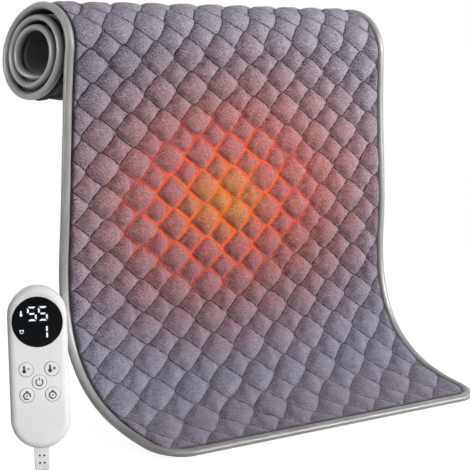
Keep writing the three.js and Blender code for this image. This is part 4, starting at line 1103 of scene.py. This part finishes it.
def edge_binding():
    """A folded satin tape, full and rounded, sewn down along its inner edges."""
    route = binding_route()
    x, along, out_x, out_along = (route[:, i][:, None] for i in range(4))
    angles = np.linspace(0, 2 * math.pi, BINDING_SIDES, endpoint=False)[None, :]
    squared = lambda wave: np.sign(wave) * np.abs(wave) ** BINDING_SQUARENESS
    push = BINDING_WIDTH / 2 * squared(np.cos(angles))
    fullness = 1 + (BINDING_FULLNESS - 1) * (1 - rolled_share(along))
    lift = BINDING_THICKNESS / 2 * fullness * squared(np.sin(angles))
    verts = profile.at(x + push * out_x, along + push * out_along, lift)
    rings = [[tuple(point) for point in ring] for ring in verts]
    points, faces = loft(rings)
    piece = make_piece("edge_binding_tape", points, faces, sharp_angle=60)
    steps = np.hypot(np.diff(route[:, 0]), np.diff(route[:, 1]))
    travel = np.concatenate([[0], np.cumsum(steps)]) * CM_PER_MM
    uvs = []
    for face in piece.data.polygons:
        cells = [(i // BINDING_SIDES, i % BINDING_SIDES) for i in face.vertices]
        wraps = max(side for _, side in cells) - min(side for _, side in cells) > BINDING_SIDES / 2
        for ring, side in cells:
            turned = side + BINDING_SIDES if wraps and side == 0 else side
            uvs.append((travel[ring], turned / BINDING_SIDES))
    set_uv(piece, "flat", uvs)
    return piece


def make_pad():
    quilt = dress(quilted_cover(), "plush", replaced=("quilted_cover",))
    back = dress(back_cover(), "back_cloth", replaced=("back_cover",))
    dress(edge_binding(), "binding", replaced=("edge_binding",))


# Stand and leads

stand_matrix = Matrix.Translation(Vector(FOOT) * MM) @ Matrix.Rotation(STAND_YAW, 4, "Z")
controller_matrix = (
    stand_matrix
    @ Matrix.Translation((0, 0, CORD_DROP * MM))
    @ Matrix.Rotation(STAND_LEAN, 4, "Y")
    @ Matrix.Translation((0, 0, (RELIEF_LENGTH + CASE_HEIGHT / 2) * MM))
    @ Matrix.Rotation(math.pi / 2, 4, "X")
)


def to_stand(point):
    return stand_matrix @ (Vector(point) * MM)


def coil_points(side, turns):
    """A coil's turns: in along the floor, up a layer in half a turn, and out again on top."""
    join_x, join_y, _ = LEAD_POINTS[-1]
    centre_x = join_x + COIL_INNER_RADIUS + COIL_PITCH * turns / 2
    centre_y = join_y - CLEARANCE - 2 * CORD_RADIUS
    climb_start = (turns - CLIMB_TURNS) / 2
    points = [(side * join_x, join_y - CLEARANCE, COIL_BASE)]
    for turn in np.linspace(0, turns, round(turns * COIL_STEPS_PER_TURN) + 1):
        radius = COIL_INNER_RADIUS + COIL_PITCH * abs(turn - turns / 2)
        angle = math.pi + 2 * math.pi * turn
        climb = float(smoothstep((turn - climb_start) / CLIMB_TURNS))
        points.append((
            side * (centre_x + radius * math.cos(angle)),
            centre_y + radius * math.sin(angle),
            COIL_BASE + COIL_PITCH * climb,
        ))
    x, y, z = points[-1]
    points.append((x, y + 2 * CORD_RADIUS, z))
    return points


def lead_route(side, turns):
    route = [(side * x, y, z) for x, y, z in LEAD_POINTS] + coil_points(side, turns)
    end_x, end_y, _ = route[-1]
    return route + [(end_x + x, end_y + y, z) for x, y, z in TAIL_POINTS]


def smooth_route(points, parts=4):
    """Points on a smooth curve through all the given ones."""
    given = [Vector(p) for p in points]
    padded = [2 * given[0] - given[1]] + given + [2 * given[-1] - given[-2]]
    smooth = []
    for before, here, after, beyond in zip(padded, padded[1:], padded[2:], padded[3:]):
        knots = [0.0]
        for p, q in ((before, here), (here, after), (after, beyond)):
            knots.append(knots[-1] + max((q - p).length, 1e-6) ** 0.5)
        for k in range(parts):
            t = knots[1] + (knots[2] - knots[1]) * k / parts
            mixed = [before, here, after, beyond]
            for level in (1, 2, 3):
                mixed = [
                    mixed[i].lerp(mixed[i + 1], (t - knots[low]) / (knots[low + span] - knots[low]))
                    for i, (low, span) in enumerate(blend_spans(level))
                ]
            smooth.append(mixed[0])
    return smooth + [given[-1]]


def blend_spans(level):
    """The knots that each blend of one level of a centripetal Catmull-Rom curve runs between."""
    return {1: ((0, 1), (1, 1), (2, 1)), 2: ((0, 2), (1, 2)), 3: ((1, 1),)}[level]


def lead_curve(name, side, turns):
    route = smooth_route([to_stand(p) for p in lead_route(side, turns)])
    curve = bpy.data.curves.new(name, "CURVE")
    curve.dimensions = "3D"
    curve.bevel_depth = CORD_RADIUS * MM
    curve.bevel_resolution = 4
    curve.use_fill_caps = True
    spline = curve.splines.new("POLY")
    spline.points.add(len(route) - 1)
    for point, place in zip(spline.points, route):
        point.co = (*place, 1)
    spline.use_smooth = True
    length = sum((q - p).length for p, q in zip(route, route[1:]))
    return add_object(name, curve), route[0], length


def make_camera():
    right, up = Vector(CAMERA_RIGHT).normalized(), Vector(CAMERA_UP).normalized()
    axes = Matrix((right, up, right.cross(up))).transposed()
    data = bpy.data.cameras.new("photo_view")
    data.lens, data.sensor_width = CAMERA_LENS, CAMERA_SENSOR
    camera = add_object("photo_view", data)
    camera.matrix_world = Matrix.Translation(CAMERA_PLACE) @ axes.to_4x4()
    bpy.context.scene.camera = camera


def cord_boot():
    """A ribbed, tapered boot along local y, from the cord up to the piece that it enters."""
    outline = [(0, 0), (CORD_RADIUS + CLEARANCE, 0)]
    slim = CORD_RADIUS + BOOT_STEP
    for k in range(BOOT_RIBS):
        low, high = (BOOT_LENGTH * (k + share) / BOOT_RIBS for share in BOOT_RIB_SPAN)
        radius = slim + (BOOT_RADIUS - slim) * (k + 1) / BOOT_RIBS
        groove = radius - BOOT_GROOVE
        outline += [(groove, low), (radius, low + BOOT_SLOPE), (radius, high), (groove, high + BOOT_SLOPE)]
    end = BOOT_LENGTH + BOOT_COLLAR
    outline += [(BOOT_RADIUS, BOOT_LENGTH - BOOT_COLLAR), (BOOT_RADIUS, end), (0, end)]
    return lathe_along_y(outline)


def make_plug(end):
    """A flat two-pin plug with a waist to grip, and its pins with insulating sleeves."""
    place = stand_matrix @ Matrix.Translation(Vector(end) * MM)
    half, waist, shoulder = PLUG_WIDTH / 2, PLUG_WAIST / 2, PLUG_LENGTH * PLUG_SHOULDER
    corners = [(-waist, 0), (waist, 0), (half, shoulder), (half, PLUG_LENGTH)]
    corners += [(-half, PLUG_LENGTH), (-half, shoulder)]
    start = BOOT_LENGTH - PLUG_OVERLAP
    grip = slab(corners, PLUG_CORNER, -PLUG_THICKNESS / 2, PLUG_THICKNESS / 2, PLUG_ROUNDING)
    plug = make_piece("mains_plug_body", *merge(moved(grip, y=start), cord_boot()), matrix=place)
    pieces = [dress(plug, "plug", replaced=("mains_plug",))]
    face = start + PLUG_LENGTH
    bare = ("tip", "steel", PIN_RADIUS - PIN_STEP, face + PIN_LENGTH, PIN_TIP_ROUNDING)
    sleeve = ("sleeve", "dark_plastic", PIN_RADIUS, face + PIN_SLEEVE, PIN_STEP)
    for name, side in (("plug_pin_left", -1), ("plug_pin_right", 1)):
        for label, slot, radius, tip, edge in (bare, sleeve):
            root = face - PIN_ROOT
            outline = [(0, root), (radius, root)] + fillet(radius, tip, edge) + [(0, tip)]
            part = lathe_along_y(outline, side * PIN_SPACING / 2)
            piece = make_piece(f"{name}_{label}", *part, matrix=place)
            pieces.append(dress(piece, slot, replaced=(name,) if slot == "steel" else ()))
    return pieces


def make_connector(end):
    """The flat connector on the pad lead: a grip with finger ridges and the nose for the pad's socket."""
    place = stand_matrix @ Matrix.Translation(Vector(end) * MM)
    half, height = CONNECTOR_WIDTH / 2, end[2]
    grip = slab(
        rectangle(-half, 0, half, CONNECTOR_LENGTH), CONNECTOR_CORNER, -height, height, CONNECTOR_ROUNDING
    )
    parts = [grip]
    ridge_half, ridge_width = RIDGE_SIZE[0] / 2, RIDGE_SIZE[1]
    for k in range(RIDGES):
        low = RIDGE_START + RIDGE_PITCH * k
        corners = rectangle(-ridge_half, low, ridge_half, low + ridge_width)
        parts.append(slab(corners, RIDGE_CORNER, height - RIDGE_SINK, height + RIDGE_RISE, RIDGE_ROUNDING))
    nose_width, nose_length, nose_height = CONNECTOR_NOSE
    corners = rectangle(-nose_width / 2, -NOSE_ROOT, nose_width / 2, nose_length)
    nose = slab(corners, NOSE_CORNER, -nose_height / 2, nose_height / 2, NOSE_ROUNDING)
    parts.append(moved(nose, y=CONNECTOR_LENGTH))
    body = merge(*(moved(part, y=BOOT_LENGTH) for part in parts), cord_boot())
    piece = make_piece("pad_connector_body", *body, matrix=place)
    return [dress(piece, "plug", replaced=("pad_connector",))]


def make_tie(name, side, turns, replaced):
    """A woven strap round all the turns of a coil."""
    outer = COIL_INNER_RADIUS + COIL_PITCH * turns / 2
    inner_edge = COIL_INNER_RADIUS - COIL_PITCH / 2 - CORD_RADIUS
    outer_edge = outer + CORD_RADIUS + CLEARANCE
    depth = outer_edge - inner_edge + 2 * TIE_THICKNESS
    height = COIL_PITCH + 2 * (CORD_RADIUS + CLEARANCE + TIE_THICKNESS)
    join_x, join_y, _ = LEAD_POINTS[-1]
    middle_y = join_y - CLEARANCE - 2 * CORD_RADIUS - (inner_edge + outer_edge) / 2
    middle_x, middle_z = side * (join_x + outer), height / 2
    corners = rectangle(-depth / 2, -height / 2, depth / 2, height / 2)
    outside, inside = (rounded_polygon(corners, TIE_ROUNDING, inset) for inset in (0, TIE_THICKNESS))
    rings = []
    for path, x in ((outside, -0.5), (outside, 0.5), (inside, 0.5), (inside, -0.5), (outside, -0.5)):
        rings.append([(middle_x + x * TIE_WIDTH, middle_y + u, middle_z + v) for u, v in path])
    piece = make_piece(name, *loft(rings, cap=False), matrix=stand_matrix)
    back = stand_matrix.inverted()
    uvs = []
    for loop in piece.data.loops:
        local = back @ piece.data.vertices[loop.vertex_index].co
        uvs.append((local.x / MM * CM_PER_MM, (local.y + local.z) / MM * CM_PER_MM))
    set_uv(piece, "flat", uvs)
    return dress(piece, "tie", replaced=replaced)


def make_leads():
    for name, side, turns, far_end, maker in (
        ("supply", -1, SUPPLY_TURNS, "plug", make_plug),
        ("pad", 1, PAD_LEAD_TURNS, "connector", make_connector),
    ):
        curve, start, length = lead_curve(f"{name}_lead_cord", side, turns)
        dress(curve, "cord", replaced=(f"{name}_lead", f"{name}_coil", f"{name}_tail"))
        ends = maker(lead_route(side, turns)[-1])
        ends.append(make_tie(f"{name}_tie_strap", side, turns, (f"{name}_tie",)))


# Controller, in its own frame: x to the right, y up and z out of its face

def capsule_outline(inset):
    radius = CASE_WIDTH / 2
    centre = (CASE_HEIGHT - CASE_WIDTH) / 2
    points = []
    for middle, start in ((centre, 0), (-centre, math.pi)):
        for t in np.linspace(start, start + math.pi, CASE_ARC_STEPS):
            points.append(((radius - inset) * math.cos(t), middle + (radius - inset) * math.sin(t)))
    return points


def capsule_solid(levels):
    return loft([[(x, y, z) for x, y in capsule_outline(inset)] for inset, z in levels])


def shell_levels(side, shrink=0.0):
    """Insets and heights of one half of the case, from the parting line to the middle of its face."""
    rounding, top = CASE_ROUNDING - shrink, FACE_Z - shrink
    levels = []
    for t in np.linspace(0, math.pi / 2, CASE_ROUNDING_STEPS + 1):
        inset, height = rounding * (1 - math.cos(t)), top - rounding + rounding * math.sin(t)
        levels.append((shrink + inset, side * height))
    levels.append((shrink + rounding + FACE_SUPPORT, side * top))
    return levels


def front_holes():
    """The window's seat and opening, and a hole for each button."""
    seat = rod(LENS_RADIUS + CLEARANCE, FACE_Z - LENS_THICKNESS - CLEARANCE, CASE_DEPTH)
    window = rod(LENS_RADIUS - LENS_LEDGE, HOLE_START, CASE_DEPTH)
    hole = rod(BUTTON_RADIUS + CLEARANCE, HOLE_START, CASE_DEPTH)
    holes = [lathe(part, (0, LENS_Y), SEAT_STEPS) for part in (seat, window)]
    return holes + [lathe(hole, button_centre(key)) for key in BUTTON_PLACES]


def rear_holes():
    """A sunk bore for each case screw."""
    floor = -FACE_Z + SCREW_HEAD_DEPTH + CLEARANCE
    bore, sink = SCREW_RADIUS + CLEARANCE, SCREW_HEAD_RADIUS + CLEARANCE
    outline = [(0, -CASE_DEPTH), (sink, -CASE_DEPTH), (sink, floor), (bore, floor)]
    outline += [(bore, -HOLE_START), (0, -HOLE_START)]
    return [lathe(outline, place, SMALL_STEPS) for place in SCREW_PLACES]


def make_shells():
    start = PARTING_GAP / 2
    half, thick = RELIEF_WIDTH / 2 + CLEARANCE, RELIEF_THICKNESS / 2 + CLEARANCE
    mouth = rectangle(-half, -CASE_HEIGHT / 2 - CASE_ROUNDING, half, RELIEF_TOP + CASE_WALL)
    relief_slot = slab(mouth, RELIEF_SLOT_CORNER, -thick, thick, RELIEF_SLOT_ROUNDING, steps=3)
    for name, side, holes in (("front_shell", 1, front_holes()), ("rear_shell", -1, rear_holes())):
        rim = [(PARTING_CHAMFER, side * start), (0, side * (start + PARTING_CHAMFER))]
        hollow = capsule_solid([(CASE_WALL, -side)] + shell_levels(side, CASE_WALL))
        shell = make_piece(name + "_case", *capsule_solid(rim + shell_levels(side)))
        cut(shell, [hollow, relief_slot, *holes])
        shell.data.transform(controller_matrix)
        dress(shell, "case", replaced=(name,))


def button_centre(key):
    across, up = BUTTON_PLACES[key]
    return across * BUTTON_SPACING_ACROSS, BUTTON_CENTRE_Y + up * BUTTON_SPACING_DOWN


def make_lens():
    base = FACE_Z - LENS_THICKNESS
    outline = [(0, base), (LENS_RADIUS, base)] + fillet(LENS_RADIUS, FACE_Z, LENS_EDGE)
    outline += [(LENS_RADIUS - LENS_RIM, FACE_Z), (0, FACE_Z)]
    lens = make_piece("display_window", *lathe(outline, (0, LENS_Y), LENS_STEPS), matrix=controller_matrix)
    dress(lens, "lens", replaced=("display_lens",))


def make_screws():
    low, head = -FACE_Z + CLEARANCE, -FACE_Z + SCREW_HEAD_DEPTH
    chamfer_in, chamfer_up = SCREW_HEAD_CHAMFER
    outline = [(0, low), (SCREW_HEAD_RADIUS - chamfer_in, low), (SCREW_HEAD_RADIUS, low + chamfer_up)]
    outline += [(SCREW_HEAD_RADIUS, head), (SCREW_RADIUS, head)]
    outline += [(SCREW_RADIUS, SCREW_TIP_Z), (0, SCREW_TIP_Z)]
    for number, (x, y) in enumerate(SCREW_PLACES, 1):
        screw = make_piece(f"screw_{number}", *lathe(outline, (x, y), SMALL_STEPS))
        slots = []
        for width, height in (SCREW_SLOT, SCREW_SLOT[::-1]):
            corners = rectangle(x - width / 2, y - height / 2, x + width / 2, y + height / 2)
            slots.append(plate(corners, low - 1, low + SCREW_SLOT_DEPTH))
        cut(screw, slots)
        screw.data.transform(controller_matrix)
        dress(screw, "steel", replaced=(f"case_screw_{number}",))


def make_relief():
    """The strain relief with its dimples, and a dark plug in each of them."""
    bottom, face = -CASE_HEIGHT / 2 - RELIEF_LENGTH, RELIEF_THICKNESS / 2
    half, end = RELIEF_WIDTH / 2, RELIEF_END_WIDTH / 2
    corners = [(-end, bottom), (end, bottom), (half, RELIEF_TOP), (-half, RELIEF_TOP)]
    relief = make_piece("strain_relief_block", *slab(corners, RELIEF_CORNER, -face, face, RELIEF_ROUNDING))
    floor, top = face - RELIEF_DOT_DEPTH, face - RELIEF_PLUG_SINK
    dimple = rod(RELIEF_DOT_RADIUS, floor, face + 1)
    radius = RELIEF_DOT_RADIUS - RELIEF_PLUG_GAP
    plug = [(0, floor), (radius, floor)] + fillet(radius, top, RELIEF_PLUG_EDGE) + [(0, top)]
    places = []
    for drop in RELIEF_DOT_DROPS:
        places += [(side * RELIEF_DOT_SPACING / 2, -CASE_HEIGHT / 2 - drop) for side in (-1, 1)]
    dimples, plugs = ([lathe(part, place, DOT_STEPS) for place in places] for part in (dimple, plug))
    cut(relief, dimples)
    relief.data.transform(controller_matrix)
    dress(relief, "relief", replaced=("strain_relief",))
    piece = make_piece("strain_relief_plugs", *merge(*plugs), matrix=controller_matrix)
    dress(piece, "dark_plastic", material="print")


# Marks on the buttons and the display

def ribbon(points, width, low, high, closed=False):
    """A flat line of the given width along points, as a thin solid."""
    path = [np.array(p, dtype=float) for p in points]
    count = len(path)
    sides = []
    for i, here in enumerate(path):
        before = path[i - 1] if closed or i > 0 else 2 * here - path[i + 1]
        after = path[(i + 1) % count] if closed or i < count - 1 else 2 * here - path[i - 1]
        into = (here - before) / np.linalg.norm(here - before)
        out = (after - here) / np.linalg.norm(after - here)
        mid = (into + out) / np.linalg.norm(into + out)
        normal = np.array((-mid[1], mid[0])) * width / 2 / max(float(mid @ into), 0.4)
        sides.append((here + normal, here - normal))
    rings = [[(*left, high), (*right, high), (*right, low), (*left, low)] for left, right in sides]
    if closed:
        rings.append(rings[0])
    return loft(rings, cap=not closed)


def plate(corners, low, high):
    return loft([[(x, y, z) for x, y in corners] for z in (low, high)])


def arc(centre, radius, start, end, steps=28):
    angles = np.radians(np.linspace(start, end, steps))
    return [(centre[0] + radius * math.cos(t), centre[1] + radius * math.sin(t)) for t in angles]


def disc(centre, radius, low, high):
    return plate(arc(centre, radius, 0, 345, 24), low, high)


def thermometer(x, y, low, high, size=1.0):
    """A stem with a bulb, its middle at (x, y)."""
    stem = ribbon([(x, y + 2.2 * size), (x, y - 1.2 * size)], 1.35 * size, low, high)
    cap = disc((x, y + 2.2 * size), 0.67 * size, low, high)
    return [stem, cap, disc((x, y - 1.25 * size), 1.4 * size, low, high)]


def stopwatch(low, high, gap_start, gap_end):
    """A round clock face with a crown and two hands, its rim open where time is taken off or put on."""
    rim = ribbon(arc((0, -0.5), 2.35, gap_end, gap_start + 360), 1.0, low, high)
    crown = ribbon([(-0.75, 2.5), (0.75, 2.5)], 1.15, low, high)
    hands = ribbon([(0.75, 0.05), (-0.85, -0.75)], 0.7, low, high)
    return [rim, crown, hands]


def icon_parts(key, low, high):
    line = lambda start, end: ribbon([start, end], 0.8, low, high)
    if key == "heat_down":
        return thermometer(-1.4, 0, low, high) + [line((0.4, 0.5), (2.6, 0.5))]
    if key == "heat_up":
        plus = [line((0.75, 0.35), (2.85, 0.35)), line((1.8, 1.4), (1.8, -0.7))]
        return thermometer(-1.2, 0.1, low, high) + plus
    if key == "power":
        return [ribbon(arc((0, -0.1), 2.45, 126, 414), 0.85, low, high), line((0, 3.2), (0, 1.2))]
    if key == "timer_down":
        return stopwatch(low, high, -62, -22)
    return stopwatch(low, high, -70, -14) + [disc((1.8, -2.1), 0.6, low, high)]


def make_buttons():
    top, flange_bottom = FACE_Z + BUTTON_PROUD, BUTTON_FLANGE_TOP - BUTTON_FLANGE
    outline = [
        (0, BUTTON_STEM_BOTTOM), (BUTTON_STEM_RADIUS, BUTTON_STEM_BOTTOM),
        (BUTTON_STEM_RADIUS, flange_bottom), (BUTTON_FLANGE_RADIUS, flange_bottom),
        (BUTTON_FLANGE_RADIUS, BUTTON_FLANGE_TOP), (BUTTON_RADIUS, BUTTON_FLANGE_TOP),
    ]
    outline += fillet(BUTTON_RADIUS, top, BUTTON_EDGE) + [(BUTTON_RADIUS - BUTTON_RIM, top), (0, top)]
    for key in BUTTON_PLACES:
        x, y = button_centre(key)
        body = f"button_{key}"
        cap = make_piece(f"{body}_cap", *lathe(outline, (x, y)), matrix=controller_matrix)
        dress(cap, "button", body, (body,))
        parts = [moved(part, x, y) for part in icon_parts(key, top - ICON_SINK, top + ICON_RISE)]
        icon = make_piece(f"{body}_icon", *merge(*parts), matrix=controller_matrix)
        dress(icon, "dark_plastic", body, material="print")


# Places and sizes of the lit marks
DIGIT_X = (-3.5, 4.2)
DIGIT_Y = LENS_Y + 5.9
DIGIT_SIZE = (6.6, 10.2)
SEGMENT_GAP = 0.6
SEGMENT_WIDTH = 1.25
HOUR_PLACE = (6.6, LENS_Y - 7.2)
HOUR_STROKE = (4.0, 0.5)
HOUR_WIDTH = 1.15
SIGN_X = -11.1
HEAT_SIGN_Y = LENS_Y + 6.2
HEAT_SIGN_SIZE = 0.74
CLOCK_SIGN_Y = LENS_Y - 6.7
CLOCK_SIGN_RADIUS = 1.1
CLOCK_SIGN_WIDTH = 0.42
CLOCK_BELL_RISE = 1.15


def digit_segments(centre, lit, low, high):
    """Lit strokes of a seven-segment digit, with slanting ends that meet at its corners."""
    half_x, half_y = (size / 2 for size in DIGIT_SIZE)
    thick, gap = SEGMENT_WIDTH, SEGMENT_GAP
    in_x, in_y, point_x = half_x - thick, half_y - thick, half_x - thick * 0.6 - gap
    level = [(-half_x + gap, half_y), (-in_x + gap, in_y), (in_x - gap, in_y), (half_x - gap, half_y)]
    upright = [
        (half_x, half_y - 1.6 * gap), (in_x, in_y - 1.2 * gap),
        (in_x, thick / 2 + gap), (half_x - thick / 2, 0.8 * gap), (half_x, 1.2 * gap),
    ]
    middle = [
        (-point_x, 0), (-in_x + gap, thick / 2), (in_x - gap, thick / 2),
        (point_x, 0), (in_x - gap, -thick / 2), (-in_x + gap, -thick / 2),
    ]
    mirrors = {
        "a": (level, 1, 1), "d": (level, 1, -1), "g": (middle, 1, 1),
        "b": (upright, 1, 1), "c": (upright, 1, -1), "e": (upright, -1, -1), "f": (upright, -1, 1),
    }
    parts = []
    for letter in lit:
        shape, flip_x, flip_y = mirrors[letter]
        parts.append(plate([(centre[0] + flip_x * x, centre[1] + flip_y * y) for x, y in shape], low, high))
    return parts


def make_display():
    """Lit marks on the window: a set temperature, the hours left and an icon beside each."""
    low, high = FACE_Z - ICON_SINK, FACE_Z + ICON_RISE
    parts = []
    for x in DIGIT_X:
        parts += digit_segments((x, DIGIT_Y), "afgcd", low, high)
    hour_x, hour_y = HOUR_PLACE
    for side in (-1, 1):
        stroke = [(hour_x, hour_y + side * reach) for reach in HOUR_STROKE]
        parts.append(ribbon(stroke, HOUR_WIDTH, low, high))
    parts += thermometer(SIGN_X, HEAT_SIGN_Y, low, high, HEAT_SIGN_SIZE)
    rim = arc((SIGN_X, CLOCK_SIGN_Y), CLOCK_SIGN_RADIUS, 0, 345, 24)
    parts.append(ribbon(rim, CLOCK_SIGN_WIDTH, low, high, closed=True))
    for side in (-1, 1):
        bell = (SIGN_X + side * CLOCK_SIGN_RADIUS, CLOCK_SIGN_Y + CLOCK_BELL_RISE)
        parts.append(disc(bell, CLOCK_SIGN_WIDTH, low, high))
    marks = make_piece("display_marks", *merge(*parts), matrix=controller_matrix)
    dress(marks, "lens", material="light")


def make_controller():
    make_shells()
    make_lens()
    make_screws()
    make_relief()
    make_buttons()
    make_display()


# Carried-over solids, floor and light

def dress_solids():
    """Gives every solid that came with the frame its slot's material."""
    slots = {row["node"]: row["material_slot"] for row in frame["record"]["subparts"]}
    for name, node in frame["nodes"].items():
        for holder in node.material_slots:
            holder.material = MATERIALS[slots[name]]


FLOOR_RADIUS = 2.2
FLOOR_SOLID = 0.55
FLOOR_FADE = 1.7
FLOOR_LIFT = 0.88
FLOOR_BASE = 0.3
FLOOR_PLACE = (-0.1, -0.1)
FLOOR_DROP = 0.0002


def make_floor():
    """A pale round floor that fades into the background, so no horizon shows."""
    body = bmesh.new()
    bmesh.ops.create_circle(body, cap_ends=True, segments=96, radius=FLOOR_RADIUS)
    mesh = bpy.data.meshes.new("floor")
    body.to_mesh(mesh)
    body.free()
    floor = add_object("floor", mesh)
    floor.location = (*FLOOR_PLACE, FLOOR_Z * MM - FLOOR_DROP)
    shader = Shader("pale_floor")
    distance = shader.vector("LENGTH", shader.place())
    shader.surface(base_color=rgb(FLOOR_BASE, FLOOR_BASE, FLOOR_BASE), roughness=0.9, specular_ior_level=0.1)
    shader.surface(emission_color=rgb(1, 1, 1), emission_strength=shader.seen(0.0, FLOOR_LIFT))
    clear = shader.node("ShaderNodeBsdfTransparent")
    blend = shader.node("ShaderNodeMixShader", {0: shader.between(distance, FLOOR_SOLID, FLOOR_FADE)})
    shader.tree.links.new(shader.end.outputs[0], blend.inputs[1])
    shader.tree.links.new(clear.outputs[0], blend.inputs[2])
    shader.tree.links.new(blend.outputs[0], shader.tree.nodes["Material Output"].inputs["Surface"])
    mesh.materials.append(shader.material)


WORLD_LIGHT = (0.07, 0.28)


def make_world():
    """Soft white surroundings, dimmer on the left, plain white where the camera or a reflection looks."""
    world = bpy.data.worlds.new("studio")
    bpy.context.scene.world = world
    shader = Shader("studio", world)
    direction = shader.node("ShaderNodeTexCoord").outputs["Generated"]
    rightward = shader.vector("DOT_PRODUCT", direction, CAMERA_RIGHT)
    light = shader.between(rightward, -0.8, 0.8, *WORLD_LIGHT)
    shader.surface(color=rgb(1, 1, 1), strength=shader.seen(light, 1.0))


# Name, place, what it points at, size and power
SOFT_LAMPS = [
    ("front", (0.1, -1.9, 1.1), (-0.1, -0.05, -0.15), 0.7, 10),
    ("top", (-0.3, -0.2, 1.5), (-0.1, -0.1, -0.1), 1.2, 3),
    ("back", (0.2, 2.3, 0.5), (0, 0, -0.15), 1.2, 34),
]
# Name, place, what it points at, size, power and the cone's angle in degrees
SPOT_LAMPS = [
    ("key", (1.6, -1.55, 0.42), (0.15, -0.03, -0.13), 0.25, 233, 24.5),
    ("roll_side", (-2.4, -0.35, 0.25), (-0.2, 0, 0), 0.12, 200, 7),
    ("controller_front", (-0.95, -2.32, 0.15), (-0.35, -0.21, -0.23), 0.12, 150, 8.5),
]
SPOT_SOFTNESS = 0.6


def place_lamp(data, place, target):
    lamp = add_object(data.name, data)
    lamp.location = place
    lamp.rotation_euler = (Vector(target) - Vector(place)).to_track_quat("-Z", "Y").to_euler()


def make_lamps():
    for name, place, target, size, power in SOFT_LAMPS:
        data = bpy.data.lights.new(name, "AREA")
        data.size, data.energy = size, power
        place_lamp(data, place, target)
    for name, place, target, size, power, angle in SPOT_LAMPS:
        data = bpy.data.lights.new(name, "SPOT")
        data.shadow_soft_size, data.energy = size, power
        data.spot_size, data.spot_blend = math.radians(angle), SPOT_SOFTNESS
        place_lamp(data, place, target)


make_materials()
make_camera()
make_leads()
make_pad()
make_controller()
dress_solids()
make_floor()
make_world()
make_lamps()
bpy.context.scene.view_settings.view_transform = "Standard"
